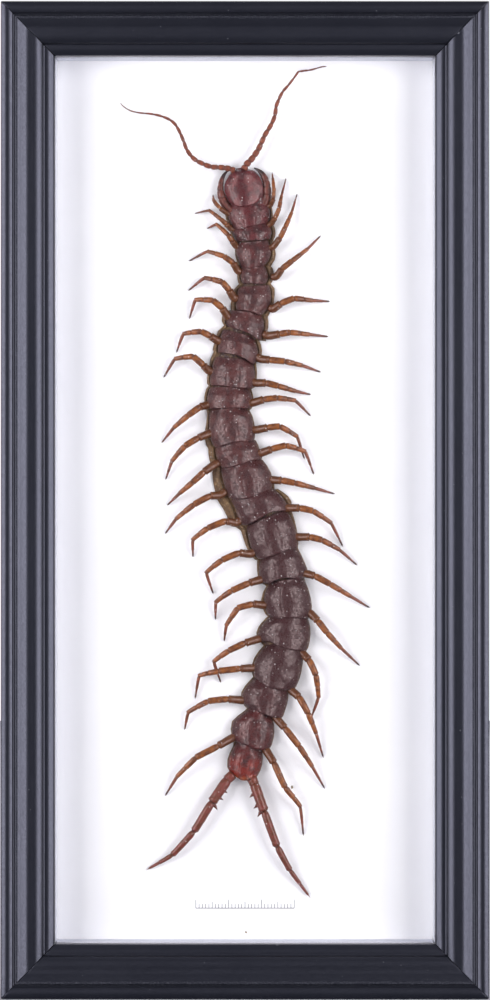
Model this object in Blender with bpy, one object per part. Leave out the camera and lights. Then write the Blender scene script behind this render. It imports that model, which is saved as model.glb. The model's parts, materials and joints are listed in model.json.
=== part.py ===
"""Framed giant centipede: a dried animal laid on a white card in a black moulded box frame.

Metres, +Z up. The front faces -Y and the frame stands on its bottom rail, with the origin
under the middle of its depth and width. Nothing moves. The animal's outline is given by
points read by eye on a straight-on picture, which spot() turns into places in the frame.
"""

import bpy
import bmesh
from math import cos, pi, radians, sin
from mathutils import Matrix, Vector

MM = 0.001

# The outside of the frame
FRAME_WIDTH = 146.5 * MM
FRAME_HEIGHT = 299.5 * MM
FRAME_DEPTH = 30.0 * MM
RAIL_WIDTH = 15.9 * MM

# The step behind the lip that holds the glass and all that lies behind it
LIP_BACK = 9.0 * MM
REBATE_WIDTH = 5.0 * MM

# Thickness of each layer, from the front to the back
GLASS_THICK = 2.0 * MM
SPACER_THICK = 8.0 * MM
CARD_THICK = 3.0 * MM
BACK_THICK = 2.5 * MM

# Clearance between pieces that touch on the real object
GAP = 0.3 * MM
MITRE_GAP = 0.21 * MM

# The toothed steel strip on the back of the top rail
HANGER_LENGTH = 44.0 * MM
HANGER_HEIGHT = 8.0 * MM
HANGER_THICK = 0.8 * MM
HANGER_RISE = 1.4 * MM
HANGER_TAB = 8.0 * MM
HANGER_RAMP = 2.0 * MM
TOOTH_PITCH = 2.0 * MM
TOOTH_DEPTH = 1.2 * MM
HOLE_RADIUS = 0.9 * MM
HOLE_SIDES = 16

# The hanger stands a little proud of the rails, and the origin is at the middle of it all
TOTAL_DEPTH = FRAME_DEPTH + GAP + HANGER_RISE + HANGER_THICK
FRONT_Y = -TOTAL_DEPTH / 2

# Depths behind the front plane
GLASS_FRONT = LIP_BACK + GAP
SPACER_FRONT = GLASS_FRONT + GLASS_THICK + GAP
CARD_FRONT = SPACER_FRONT + SPACER_THICK + GAP
BACK_FRONT = CARD_FRONT + CARD_THICK + GAP

# The picture that the animal's points are read from: its middle, its scale at the front
# plane of the frame, and how far away the camera stood
PICTURE_MIDDLE = (245.0, 500.0)
PIXEL = 0.3 * MM
CAMERA_DISTANCE = 1.2
FRAME_MIDDLE_Z = FRAME_HEIGHT / 2

# Heights above the card
BODY_MIDDLE = 3.0 * MM
BODY_UP = 2.7 * MM
BODY_DOWN = 2.5 * MM
BODY_INSET = 0.4 * MM
HEAD_MIDDLE = 3.7 * MM
HEAD_HALF = 1.1 * MM
BODY_SIDES = 14
LIMB_SIDES = 6

# The head shield: left and right edge, front to back
HEAD_EDGES = [
    ((237, 171), (247, 170)),
    ((231, 174), (256, 172)),
    ((226, 181), (261, 179)),
    ((224.5, 188), (263, 187)),
    ((226, 196), (263, 194)),
    ((229, 203), (261, 199)),
]

# The 21 back plates: left and right edge at the front, the widest place and the rear of each
PLATE_EDGES = [
    ((231, 209), (268, 204)), ((229, 218), (270, 214)), ((232, 227), (268, 224)),
    ((232, 231), (270, 226)), ((234, 237), (271, 233)), ((236, 241.5), (270, 239)),
    ((236, 246), (269, 243)), ((237, 256), (271, 252)), ((241, 266), (264, 266)),
    ((240, 270), (266, 269)), ((240.5, 277), (268, 278)), ((242, 283.5), (266, 283)),
    ((238, 290), (270, 288)), ((236.5, 300), (271, 300)), ((237, 310.5), (264, 313)),
    ((229, 313), (262, 316)), ((226, 321), (264, 326)), ((229, 327), (261, 338)),
    ((222, 332), (255, 340)), ((218, 343), (258, 351)), ((219, 352.5), (255, 361)),
    ((214, 360), (253, 362)), ((210.5, 373), (255.5, 375)), ((212, 385.5), (252, 387)),
    ((209, 390), (250, 390)), ((207, 400), (252, 400)), ((208.5, 408.5), (250, 408)),
    ((210, 412), (248, 410)), ((209, 427), (253.5, 426)), ((213.5, 446), (254, 440)),
    ((215, 449), (256, 442)), ((217, 458), (259, 450)), ((221.5, 467), (261, 459)),
    ((221, 470), (262, 460)), ((224, 483), (271, 476)), ((229, 497), (271, 489)),
    ((231, 500), (275, 490)), ((236, 511), (285, 501)), ((243, 525), (288, 510.5)),
    ((247, 528), (288, 512)), ((250, 543), (296, 531)), ((257, 557.5), (297, 547)),
    ((260, 560), (298, 550)), ((259.5, 571), (306, 564)), ((262.5, 583), (303, 578)),
    ((268, 585), (304, 580)), ((264, 600), (311, 600)), ((269, 616), (307, 618.5)),
    ((268, 618), (308, 620)), ((259, 630), (310, 634)), ((261, 641), (306, 650)),
    ((266, 645), (303, 654)), ((254, 662), (301, 670)), ((255, 677), (293, 689)),
    ((252, 680), (288, 692)), ((243, 694), (286, 704)), ((249, 708.5), (281, 717.5)),
    ((247, 710), (272, 718)), ((233, 724), (274, 728)), ((235, 741), (270, 747)),
    ((235, 745), (262, 752)), ((229, 760), (261.5, 765)), ((236, 773), (255, 776)),
]

# Each leg from the body outwards: where it leaves the body, its three joints and its tip
LEFT_LEGS = [
    [(228, 214), (222, 210), (216, 204), (213.5, 200), (213, 195)],
    [(231, 229), (226, 224), (221, 219.5), (209, 210.5), (194.5, 213.7)],
    [(236, 246), (232, 241), (228.5, 235.5), (216.5, 224.5), (207, 228.8)],
    [(238, 271), (233, 263), (224, 256.5), (207.5, 251.5), (188.5, 261.5)],
    [(234, 298), (229, 290), (222, 282), (204.5, 278), (188, 291)],
    [(228, 317), (222, 308), (213, 300.5), (195.5, 300), (189.3, 319.3)],
    [(218, 341), (210, 336), (201, 331.5), (183.5, 334), (176.3, 353)],
    [(209, 371), (203, 365), (193, 356.5), (175, 359), (163.5, 378)],
    [(207, 405), (200, 407), (188, 415.5), (174, 427.5), (161.5, 443)],
    [(208, 434), (198, 438), (185, 446), (172, 461), (165.5, 480)],
    [(214, 465), (204, 472), (193, 482), (180, 493), (167, 505.5)],
    [(220, 495), (210, 496), (194, 504.5), (176.5, 518.5), (165, 534)],
    [(236, 523), (226, 521), (208, 528), (193, 539.5), (193, 557.5)],
    [(251, 554), (239, 553), (222, 560), (206.5, 572.5), (213.5, 594.5)],
    [(261, 579.5), (249, 583), (232, 590.5), (216, 602), (215.5, 620)],
    [(264, 605), (253, 604), (238, 608), (226.5, 625), (224, 641.5)],
    [(258, 639), (245, 643), (229, 650.5), (214, 661.5), (221, 683)],
    [(253, 668), (240, 668.5), (219, 671), (199.5, 675.5), (195, 699)],
    [(242, 700), (228, 699), (208.5, 701), (188.5, 712), (184.5, 730)],
    [(232, 738), (218, 746), (196, 757.5), (177.5, 776), (165, 796)],
    [(228, 779), (212, 802), (194, 831), (172, 855), (146, 870)],
]
RIGHT_LEGS = [
    [(270, 206), (273, 200), (274, 190), (273, 180), (272, 172.5)],
    [(271, 224), (275, 218), (279, 209), (281.5, 196), (286.2, 177.8)],
    [(273, 247), (280, 238), (285, 228), (291.5, 213), (297.3, 193.5)],
    [(276, 277), (282, 269), (292, 261), (307, 249.5), (321, 235.5)],
    [(273, 309), (281, 303.5), (294, 298.5), (312, 300.5), (330, 301.5)],
    [(268, 336), (280, 334), (290, 332.5), (309, 334.5), (328.5, 336.7)],
    [(261, 359), (270, 360), (285, 361.5), (302, 365.5), (321, 372.3)],
    [(256, 383), (266, 383), (278, 386), (295, 391), (311, 394.7)],
    [(252, 403), (264, 399.5), (277, 398), (295, 400.5), (311, 416.5)],
    [(256, 430), (268, 427.5), (280, 426.5), (297, 436.5), (304.5, 459.5)],
    [(261, 453), (272, 449), (286, 445.5), (305, 451.5), (314, 475)],
    [(272, 480), (282, 480.5), (295, 483), (314, 488), (335, 494)],
    [(288, 508), (300, 508), (313, 511), (331, 523), (343, 547)],
    [(299, 537), (310, 537), (322, 540), (339, 549.5), (357.5, 565.5)],
    [(304, 573), (315, 576), (330, 584), (350, 596), (370, 608)],
    [(310, 613), (318, 621), (327, 632.5), (341, 648), (360, 666)],
    [(303, 654), (309, 660), (316, 675), (318.5, 697), (310, 721)],
    [(291, 690), (299, 697), (308, 713), (316, 733), (323.5, 758)],
    [(277, 719), (285, 728), (299, 746), (312, 766), (325, 789)],
    [(266, 750), (274, 763), (285, 787), (300, 806), (303.5, 836)],
    [(254, 783.5), (264, 811), (277, 846), (290, 870), (310.5, 898)],
]
LEG_HEIGHTS = [3.0 * MM, 3.6 * MM, 4.0 * MM, 2.7 * MM, 0.6 * MM]
LEG_RADII = [0.85 * MM, 0.9 * MM, 0.75 * MM, 0.6 * MM, 0.16 * MM]
LAST_LEG_RADII = [1.15 * MM, 1.15 * MM, 0.95 * MM, 0.7 * MM, 0.18 * MM]
ROOT_REACH = 4.0 * MM
ROOT_RADIUS = 0.8 * MM

# The feelers, from the head to the tip, as far as their bends need
LEFT_FEELER = [
    (231, 168.5), (220, 167.5), (208, 166), (197, 161), (188.5, 152.5), (183.5, 141), (180.5, 134),
    (174.5, 123.8), (165.5, 118), (156, 115), (146, 113.6), (135, 112.3), (127, 109.3), (120.3, 103),
]
RIGHT_FEELER = [
    (246, 166), (250.5, 160.5), (257.5, 151), (262, 141), (268.5, 129.5), (274.5, 117), (276, 107),
    (280.5, 96.5), (287, 87), (295.5, 76), (299, 71.8), (306, 71), (316, 68.3), (326.5, 66.5),
]
FEELER_HEIGHTS = (3.4 * MM, 1.4 * MM)
FEELER_RADII = (0.85 * MM, 0.2 * MM)

# The poison claws, which curve forwards under the sides of the head to their points
LEFT_CLAW = [
    (235, 212), (224.5, 205), (220.5, 197), (220, 191), (221, 184.5), (223, 179), (227, 173.5), (232, 171),
]
RIGHT_CLAW = [
    (259, 208), (266, 201), (267.5, 194), (267.5, 187), (266.5, 180), (264, 175), (260, 171), (255, 169.5),
]
CLAW_HEIGHT = 1.3 * MM
CLAW_RADII = (0.8 * MM, 0.2 * MM)


def clear_scene():
    for obj in list(bpy.data.objects):
        bpy.data.objects.remove(obj)


def material(name, colour, roughness, metallic=0.0):
    made = bpy.data.materials.new(name)
    made.use_nodes = True
    shader = made.node_tree.nodes["Principled BSDF"]
    shader.inputs["Base Color"].default_value = (*colour, 1.0)
    shader.inputs["Roughness"].default_value = roughness
    shader.inputs["Metallic"].default_value = metallic
    return made


def add_object(name, mesh_data, finish, smooth=False):
    """One mesh as one named object, with its faces turned outwards."""
    mesh = bpy.data.meshes.new(name)
    bmesh.ops.recalc_face_normals(mesh_data, faces=mesh_data.faces)
    mesh_data.to_mesh(mesh)
    mesh_data.free()
    mesh.materials.append(finish)
    if smooth:
        mesh.shade_smooth()
        mesh.set_sharp_from_angle(angle=radians(50))
    obj = bpy.data.objects.new(name, mesh)
    bpy.context.scene.collection.objects.link(obj)
    return obj


def depth(behind_front):
    """Y of a plane that lies this far behind the front of the frame."""
    return FRONT_Y + behind_front


def spot(point, above_card):
    """The place in the frame of a picture point that lies this high above the card."""
    behind_front = CARD_FRONT - above_card
    scale = PIXEL * (CAMERA_DISTANCE + behind_front) / CAMERA_DISTANCE
    x = (point[0] - PICTURE_MIDDLE[0]) * scale
    z = FRAME_MIDDLE_Z - (point[1] - PICTURE_MIDDLE[1]) * scale
    return Vector((x, depth(behind_front), z))


def arc(start, end, bulge, count):
    """Points along a shallow arc from start to end, pushed out in the middle by bulge."""
    start, end = Vector(start), Vector(end)
    across = Vector(((end - start).y, -(end - start).x)).normalized()
    points = []
    for i in range(count + 1):
        t = i / count
        points.append(start.lerp(end, t) + across * bulge * 4 * t * (1 - t))
    return points


def quarter_round(start, end, count):
    """Points along a quarter ellipse that starts flat at start and ends upright at end."""
    width, drop = end[0] - start[0], end[1] - start[1]
    points = []
    for i in range(count + 1):
        angle = pi / 2 * i / count
        points.append((start[0] + width * sin(angle), start[1] + drop * (1 - cos(angle))))
    return points


def rail_profile():
    """The moulding's section: distance in from the outer edge, and depth behind the front."""
    bead = arc((0.1, 0.5), (3.45, 0.5), 0.5, 12)
    groove = [(3.5, 0.95), (3.75, 1.2), (4.0, 1.2), (4.35, 0.78)]
    fillet = [(4.9, 0.95), (5.2, 1.0)]
    slope = [(6.0, 1.33), (7.1, 1.8)]
    cove = arc((7.3, 1.88), (8.5, 2.16), -0.06, 4)
    upper_step = arc((9.3, 2.18), (12.2, 3.25), 0.3, 10)
    riser = [(12.45, 3.65), (12.55, 4.2)]
    lip = quarter_round((12.9, 4.35), (RAIL_WIDTH / MM, 7.0), 12)
    front = [(0.0, 0.8), *bead, *groove, *fillet, *slope, *cove, *upper_step, *riser, *lip]
    front = [(u * MM, d * MM) for u, d in front]
    rebate = RAIL_WIDTH - REBATE_WIDTH
    back = [
        (RAIL_WIDTH, LIP_BACK),
        (rebate, LIP_BACK),
        (rebate, FRAME_DEPTH),
        (0.0, FRAME_DEPTH),
    ]
    return front + back


def add_rail(name, length, turn, middle, finish):
    """A rail along X with mitred ends, its outer edge down, turned about Y into its place."""
    mesh_data = bmesh.new()
    ends = []
    for side in (-1, 1):
        ring = []
        for u, d in rail_profile():
            x = side * (length / 2 - u - MITRE_GAP)
            ring.append(mesh_data.verts.new((x, depth(d), u)))
        ends.append(ring)
    loft(mesh_data, ends)
    place = Matrix.Translation(middle) @ Matrix.Rotation(turn, 4, "Y")
    bmesh.ops.transform(mesh_data, matrix=place, verts=mesh_data.verts)
    return add_object(name, mesh_data, finish, smooth=True)


def add_rails(finish):
    half_width = FRAME_WIDTH / 2
    add_rail("rail_bottom", FRAME_WIDTH, 0.0, (0, 0, 0), finish)
    add_rail("rail_top", FRAME_WIDTH, pi, (0, 0, FRAME_HEIGHT), finish)
    add_rail("rail_left", FRAME_HEIGHT, pi / 2, (-half_width, 0, FRAME_MIDDLE_Z), finish)
    add_rail("rail_right", FRAME_HEIGHT, -pi / 2, (half_width, 0, FRAME_MIDDLE_Z), finish)


def box_mesh(low, high):
    mesh_data = bmesh.new()
    bmesh.ops.create_cube(mesh_data, size=1.0)
    size = Vector(high) - Vector(low)
    middle = (Vector(high) + Vector(low)) / 2
    bmesh.ops.scale(mesh_data, vec=size, verts=mesh_data.verts)
    bmesh.ops.translate(mesh_data, vec=middle, verts=mesh_data.verts)
    return mesh_data


def layer_box(front, thickness):
    """Corners of a sheet that fills the rebate between its walls."""
    edge = RAIL_WIDTH - REBATE_WIDTH + GAP
    low = (-FRAME_WIDTH / 2 + edge, depth(front), edge)
    high = (FRAME_WIDTH / 2 - edge, depth(front + thickness), FRAME_HEIGHT - edge)
    return low, high


def add_sheet(name, front, thickness, finish):
    return add_object(name, box_mesh(*layer_box(front, thickness)), finish)


def add_spacers(finish):
    """Four foam strips that keep the glass off the animal, their inner faces flush with the lip."""
    low, high = layer_box(SPACER_FRONT, SPACER_THICK)
    inner_x = FRAME_WIDTH / 2 - RAIL_WIDTH
    top_z = FRAME_HEIGHT - RAIL_WIDTH
    strips = {
        "spacer_left": ((low[0], low[2]), (-inner_x, high[2])),
        "spacer_right": ((inner_x, low[2]), (high[0], high[2])),
        "spacer_bottom": ((-inner_x + GAP, low[2]), (inner_x - GAP, RAIL_WIDTH)),
        "spacer_top": ((-inner_x + GAP, top_z), (inner_x - GAP, high[2])),
    }
    for name, ((x0, z0), (x1, z1)) in strips.items():
        add_object(name, box_mesh((x0, low[1], z0), (x1, high[1], z1)), finish)


def hanger_outline():
    """The hanger's section seen from above: flat ends, a ramp each side and a raised middle."""
    half = HANGER_LENGTH / 2
    tab = half - HANGER_TAB
    raised = tab - HANGER_RAMP
    return [(-half, 0.0), (-tab, 0.0), (-raised, HANGER_RISE), (raised, HANGER_RISE), (tab, 0.0), (half, 0.0)]


def add_hanger(finish):
    """The strip, bent from flat steel, with teeth cut in its lower edge and two nail holes."""
    middle_z = FRAME_HEIGHT - (RAIL_WIDTH - REBATE_WIDTH) / 2
    y_start = depth(FRAME_DEPTH) + GAP
    mesh_data = bmesh.new()
    rings = []
    for x, rise in hanger_outline():
        corners = []
        for y in (y_start + rise, y_start + rise + HANGER_THICK):
            for z in (middle_z - HANGER_HEIGHT / 2, middle_z + HANGER_HEIGHT / 2):
                corners.append(mesh_data.verts.new((x, y, z)))
        rings.append([corners[0], corners[1], corners[3], corners[2]])
    loft(mesh_data, rings)
    hanger = add_object("hanger_plate", mesh_data, finish)
    cut_teeth(hanger, y_start, middle_z - HANGER_HEIGHT / 2)
    nail_x = HANGER_LENGTH / 2 - HANGER_TAB / 2
    for name, x in (("left_nail_hole", -nail_x), ("right_nail_hole", nail_x)):
        drill = drill_mesh(x, middle_z, y_start - GAP, y_start + HANGER_THICK + GAP)
        subtract(hanger, add_object(name, drill, cutter_finish()))


def cut_teeth(hanger, y_start, lower_edge):
    """One cutter takes a row of notches out of the raised middle's lower edge."""
    raised = HANGER_LENGTH / 2 - HANGER_TAB - HANGER_RAMP
    teeth = int(2 * raised / TOOTH_PITCH)
    y_low = y_start
    y_high = y_start + HANGER_RISE + 2 * HANGER_THICK
    below = lower_edge - MM
    outline = [(-teeth * TOOTH_PITCH / 2, below)]
    for i in range(teeth):
        x = (i - teeth / 2) * TOOTH_PITCH
        outline.append((x, lower_edge))
        outline.append((x + TOOTH_PITCH / 2, lower_edge + TOOTH_DEPTH))
    outline.append((teeth * TOOTH_PITCH / 2, lower_edge))
    outline.append((teeth * TOOTH_PITCH / 2, below))
    mesh_data = bmesh.new()
    sides = []
    for y in (y_low, y_high):
        sides.append([mesh_data.verts.new((x, y, z)) for x, z in outline])
    loft(mesh_data, sides)
    subtract(hanger, add_object("tooth_cutter", mesh_data, cutter_finish()))


def cutter_finish():
    return bpy.data.materials.get("cutter") or material("cutter", (1.0, 0.2, 0.2), 0.5)


def subtract(target, cutter):
    """Leave the cutter as a guide and let a Boolean on the target take it away."""
    cutter.hide_render = True
    cutter.display_type = "WIRE"
    boolean = target.modifiers.new(cutter.name, "BOOLEAN")
    boolean.operation = "DIFFERENCE"
    boolean.solver = "EXACT"
    boolean.object = cutter


def drill_mesh(x, z, y_low, y_high):
    """A round bar along Y that cuts a nail hole."""
    mesh_data = bmesh.new()
    rings = []
    for y in (y_low, y_high):
        ring = []
        for i in range(HOLE_SIDES):
            angle = 2 * pi * i / HOLE_SIDES
            side, up = HOLE_RADIUS * cos(angle), HOLE_RADIUS * sin(angle)
            ring.append(mesh_data.verts.new((x + side, y, z + up)))
        rings.append(ring)
    loft(mesh_data, rings)
    return mesh_data


def loft(mesh_data, rings):
    """Skin a row of equal rings and close both ends."""
    count = len(rings[0])
    for first, second in zip(rings, rings[1:]):
        for i in range(count):
            j = (i + 1) % count
            mesh_data.faces.new((first[i], first[j], second[j], second[i]))
    mesh_data.faces.new(rings[0])
    mesh_data.faces.new(list(reversed(rings[-1])))


def add_shield(name, edges, middle, up, down, finish, inset=0.0, longer=0.0):
    """A flattened body along pairs of left and right edge points, domed above and below."""
    mesh_data = bmesh.new()
    rings = []
    for left_point, right_point in edges:
        left, right = spot(left_point, middle), spot(right_point, middle)
        centre = (left + right) / 2
        across = (right - left) / 2
        across -= across.normalized() * inset
        if len(rings) in (0, len(edges) - 1):
            forward = across.cross(Vector((0, 1, 0))).normalized()
            centre += forward * (longer if not rings else -longer)
        ring = []
        for i in range(BODY_SIDES):
            angle = 2 * pi * i / BODY_SIDES
            rise = sin(angle) * (up if sin(angle) > 0 else down)
            ring.append(mesh_data.verts.new(centre + across * cos(angle) + Vector((0, -rise, 0))))
        rings.append(ring)
    loft(mesh_data, rings)
    return add_object(name, mesh_data, finish, smooth=True)


def add_limb(name, points, radii, finish):
    """A round limb through the points, with a radius at each."""
    mesh_data = bmesh.new()
    rings = []
    for i, (point, radius) in enumerate(zip(points, radii)):
        before = points[max(i - 1, 0)]
        after = points[min(i + 1, len(points) - 1)]
        along = (after - before).normalized()
        side = along.cross(Vector((0, 1, 0))).normalized()
        over = side.cross(along).normalized()
        ring = []
        for j in range(LIMB_SIDES):
            angle = 2 * pi * j / LIMB_SIDES
            ring.append(mesh_data.verts.new(point + (side * cos(angle) + over * sin(angle)) * radius))
        rings.append(ring)
    loft(mesh_data, rings)
    return add_object(name, mesh_data, finish, smooth=True)


def blend(ends, share):
    return ends[0] + (ends[1] - ends[0]) * share


def add_leg(name, picture_points, radii, plate, finish):
    """A leg that starts inside its own plate, for the trunk's clearance to cut back."""
    points = [spot(p, h) for p, h in zip(picture_points, LEG_HEIGHTS)]
    left, right = plate
    inside = (spot(left, LEG_HEIGHTS[0]) + spot(right, LEG_HEIGHTS[0])) / 2
    root = points[0] + (inside - points[0]).normalized() * ROOT_REACH
    return add_limb(name, [root, *points], [ROOT_RADIUS, *radii], finish)


def add_tapering(name, picture_points, heights, radii, finish):
    last = len(picture_points) - 1
    points = [spot(p, blend(heights, i / last)) for i, p in enumerate(picture_points)]
    return add_limb(name, points, [blend(radii, i / last) for i in range(last + 1)], finish)


def add_centipede():
    plate = material("back_plates", (0.075, 0.03, 0.032), 0.35)
    head = material("head_shield", (0.11, 0.03, 0.03), 0.32)
    leg = material("leg_cuticle", (0.25, 0.1, 0.04), 0.4)
    feeler = material("feeler_cuticle", (0.22, 0.06, 0.045), 0.45)
    claw = material("claw_cuticle", (0.12, 0.035, 0.03), 0.3)
    add_shield("head", HEAD_EDGES, HEAD_MIDDLE, HEAD_HALF, HEAD_HALF, head)
    add_shield("trunk", PLATE_EDGES, BODY_MIDDLE, BODY_UP, BODY_DOWN, plate, BODY_INSET)
    clearance = add_shield(
        "trunk_clearance",
        PLATE_EDGES,
        BODY_MIDDLE,
        BODY_UP + GAP,
        BODY_DOWN + GAP,
        cutter_finish(),
        inset=BODY_INSET - GAP,
        longer=GAP,
    )
    add_tapering("antenna_left", LEFT_FEELER, FEELER_HEIGHTS, FEELER_RADII, feeler)
    add_tapering("antenna_right", RIGHT_FEELER, FEELER_HEIGHTS, FEELER_RADII, feeler)
    flat = (CLAW_HEIGHT, CLAW_HEIGHT)
    for name, points in (("forcipule_left", LEFT_CLAW), ("forcipule_right", RIGHT_CLAW)):
        subtract(add_tapering(name, points, flat, CLAW_RADII, claw), clearance)
    for side, legs in (("left", LEFT_LEGS), ("right", RIGHT_LEGS)):
        for number, points in enumerate(legs, start=1):
            radii = LAST_LEG_RADII if number == len(legs) else LEG_RADII
            widest = PLATE_EDGES[3 * number - 2]
            subtract(add_leg(f"leg_{side}_{number:02d}", points, radii, widest, leg), clearance)


def add_frame():
    black = material("black_lacquer", (0.012, 0.013, 0.017), 0.3)
    glass = material("picture_glass", (0.9, 0.95, 0.94), 0.02)
    glass.node_tree.nodes["Principled BSDF"].inputs["Transmission Weight"].default_value = 1.0
    foam = material("white_foam", (0.85, 0.85, 0.85), 0.8)
    card = material("white_card", (0.9, 0.9, 0.9), 0.7)
    board = material("brown_hardboard", (0.22, 0.13, 0.07), 0.7)
    steel = material("zinc_steel", (0.6, 0.6, 0.58), 0.35, metallic=1.0)
    add_rails(black)
    add_sheet("glass_pane", GLASS_FRONT, GLASS_THICK, glass)
    add_spacers(foam)
    add_sheet("mount_card", CARD_FRONT, CARD_THICK, card)
    add_sheet("back_board", BACK_FRONT, BACK_THICK, board)
    add_hanger(steel)


def build():
    clear_scene()
    add_frame()
    add_centipede()


build()
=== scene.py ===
# %% [markdown]
# A giant centipede in its black box frame
#
# A dried centipede lies full length on white card, behind glass, in a black moulded frame.
# The frame's construction comes in as a fixed model. This lesson gives each piece its finish,
# and builds the animal again in fine detail: plates that overlap like roof tiles, jointed
# legs, poison claws and feelers.

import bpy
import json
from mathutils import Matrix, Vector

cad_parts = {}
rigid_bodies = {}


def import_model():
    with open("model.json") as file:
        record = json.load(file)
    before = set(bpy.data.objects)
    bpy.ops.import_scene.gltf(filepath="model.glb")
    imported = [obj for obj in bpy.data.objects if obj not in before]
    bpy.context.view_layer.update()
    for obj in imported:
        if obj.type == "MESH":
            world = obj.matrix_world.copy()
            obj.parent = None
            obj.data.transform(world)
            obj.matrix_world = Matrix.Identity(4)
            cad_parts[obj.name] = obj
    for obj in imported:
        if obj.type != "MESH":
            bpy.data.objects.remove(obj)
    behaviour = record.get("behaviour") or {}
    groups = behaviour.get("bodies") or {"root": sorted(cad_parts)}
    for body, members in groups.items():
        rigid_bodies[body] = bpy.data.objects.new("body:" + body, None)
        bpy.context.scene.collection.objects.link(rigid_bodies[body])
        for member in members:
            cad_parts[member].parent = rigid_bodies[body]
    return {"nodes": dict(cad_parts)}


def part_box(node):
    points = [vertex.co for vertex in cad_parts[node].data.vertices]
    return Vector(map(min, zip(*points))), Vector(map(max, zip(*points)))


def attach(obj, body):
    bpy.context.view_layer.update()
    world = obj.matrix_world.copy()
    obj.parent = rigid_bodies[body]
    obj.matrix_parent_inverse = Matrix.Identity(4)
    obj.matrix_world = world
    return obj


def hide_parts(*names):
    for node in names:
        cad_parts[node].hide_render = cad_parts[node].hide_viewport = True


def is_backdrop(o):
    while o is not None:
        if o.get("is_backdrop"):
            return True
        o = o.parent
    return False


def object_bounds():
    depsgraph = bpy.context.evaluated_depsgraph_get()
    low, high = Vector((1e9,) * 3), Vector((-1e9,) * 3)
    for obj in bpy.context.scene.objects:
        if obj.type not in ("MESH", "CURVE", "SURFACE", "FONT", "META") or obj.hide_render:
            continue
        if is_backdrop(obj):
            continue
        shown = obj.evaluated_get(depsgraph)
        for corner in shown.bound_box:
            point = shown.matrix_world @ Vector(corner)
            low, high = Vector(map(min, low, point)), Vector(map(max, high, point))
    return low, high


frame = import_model()
cad_low, cad_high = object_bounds()
print("frame box in mm:", [round(v * 1000, 1) for v in (*cad_low, *cad_high)])

# %% Bring in the tools
import json
import bpy
import numpy as np
from math import cos, pi, radians, sin
from mathutils import Vector, noise

MM = 0.001

# %% [markdown]
# Where things are
#
# The animal was drawn from a straight-on picture, so its points are picture points:
# pixels to the right and pixels down. `spot` turns such a point, and a height above the card,
# into a place in the frame. It allows for perspective, because something nearer to the camera
# looks larger.

# %% From the picture to the frame
PIXEL = 0.3 * MM
PICTURE_MIDDLE = np.array((245.0, 500.0))
CAMERA_DISTANCE = 1.2
FRONT = cad_low.y
MIDDLE_HEIGHT = (cad_low.z + cad_high.z) / 2
CARD_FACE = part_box("mount_card")[0].y
ON_CARD = PIXEL * (CAMERA_DISTANCE + CARD_FACE - FRONT) / CAMERA_DISTANCE / MM


def spot(points, above):
    """Places in the frame of picture points this many millimetres above the card."""
    points = np.asarray(points, float)
    y = CARD_FACE - np.asarray(above, float) * MM
    scale = PIXEL * (CAMERA_DISTANCE + y - FRONT) / CAMERA_DISTANCE
    x = (points[..., 0] - PICTURE_MIDDLE[0]) * scale
    z = MIDDLE_HEIGHT - (points[..., 1] - PICTURE_MIDDLE[1]) * scale
    return np.stack(np.broadcast_arrays(x, y, z), axis=-1)


print("one picture pixel on the card is", round(ON_CARD, 4), "mm")

# %% [markdown]
# Curves and noise
#
# A curve through hand-read points keeps their wobble and stays smooth between them. The noise
# gives dried skin its dents and wrinkles, the same ones each time the script runs.

# %% Smooth curves, steps and dents
def through(points, count, tight=0.5):
    """Evenly spaced points on a smooth curve through the given ones."""
    p = np.asarray(points, float)
    p = np.vstack([2 * p[0] - p[1], p, 2 * p[-1] - p[-2]])
    knots = np.concatenate([[0], np.cumsum(np.linalg.norm(np.diff(p, axis=0), axis=1) ** tight)])
    fine = []
    for i in range(1, len(p) - 2):
        t0, t1, t2, t3 = knots[i - 1 : i + 3]
        t = np.linspace(t1, t2, 24, endpoint=False)[:, None]
        a1 = ((t1 - t) * p[i - 1] + (t - t0) * p[i]) / (t1 - t0)
        a2 = ((t2 - t) * p[i] + (t - t1) * p[i + 1]) / (t2 - t1)
        a3 = ((t3 - t) * p[i + 1] + (t - t2) * p[i + 2]) / (t3 - t2)
        b1 = ((t2 - t) * a1 + (t - t0) * a2) / (t2 - t0)
        b2 = ((t3 - t) * a2 + (t - t1) * a3) / (t3 - t1)
        fine.append(((t2 - t) * b1 + (t - t1) * b2) / (t2 - t1))
    return evenly(np.vstack([*fine, p[-2]]), np.linspace(0, 1, count))


def evenly(line, shares):
    """Points at these shares of a line's length."""
    steps = np.linalg.norm(np.diff(line, axis=0), axis=1)
    along = np.concatenate([[0], np.cumsum(steps)]) / steps.sum()
    return np.stack([np.interp(shares, along, line[:, k]) for k in range(line.shape[1])], axis=-1)


def step(value, low, high):
    """0 below low, 1 above high, and an even slope between them."""
    t = np.clip((np.asarray(value, float) - low) / (high - low), 0, 1)
    return t * t * (3 - 2 * t)


def dents(places, size, seed):
    """Smooth noise from -1 to 1 over places in the frame, with dents about this many mm wide."""
    flat = places.reshape(-1, 3) / (size * MM) + seed * 17.3
    values = np.array([noise.noise(Vector(p)) for p in flat])
    return values.reshape(places.shape[:-1])


# %% [markdown]
# Skin over rings
#
# Nearly everything here is a row of closed rings with a skin over them: a leg joint is a row
# of round rings, and a back plate is a row of long flat ones. The function closes both ends,
# turns the faces outwards and can store marks on the points, which the materials read later.

# %% Build one object from ring shells
def end_faces(ring, flat):
    """A ring's closing faces: one flat face, or a strip between its two halves."""
    ring = ring.tolist()
    if flat:
        return [ring[::-1]]
    m = len(ring)
    return [[ring[j + 1], ring[j], ring[m - 1 - j], ring[m - 2 - j]] for j in range(m // 2 - 1)]


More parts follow.
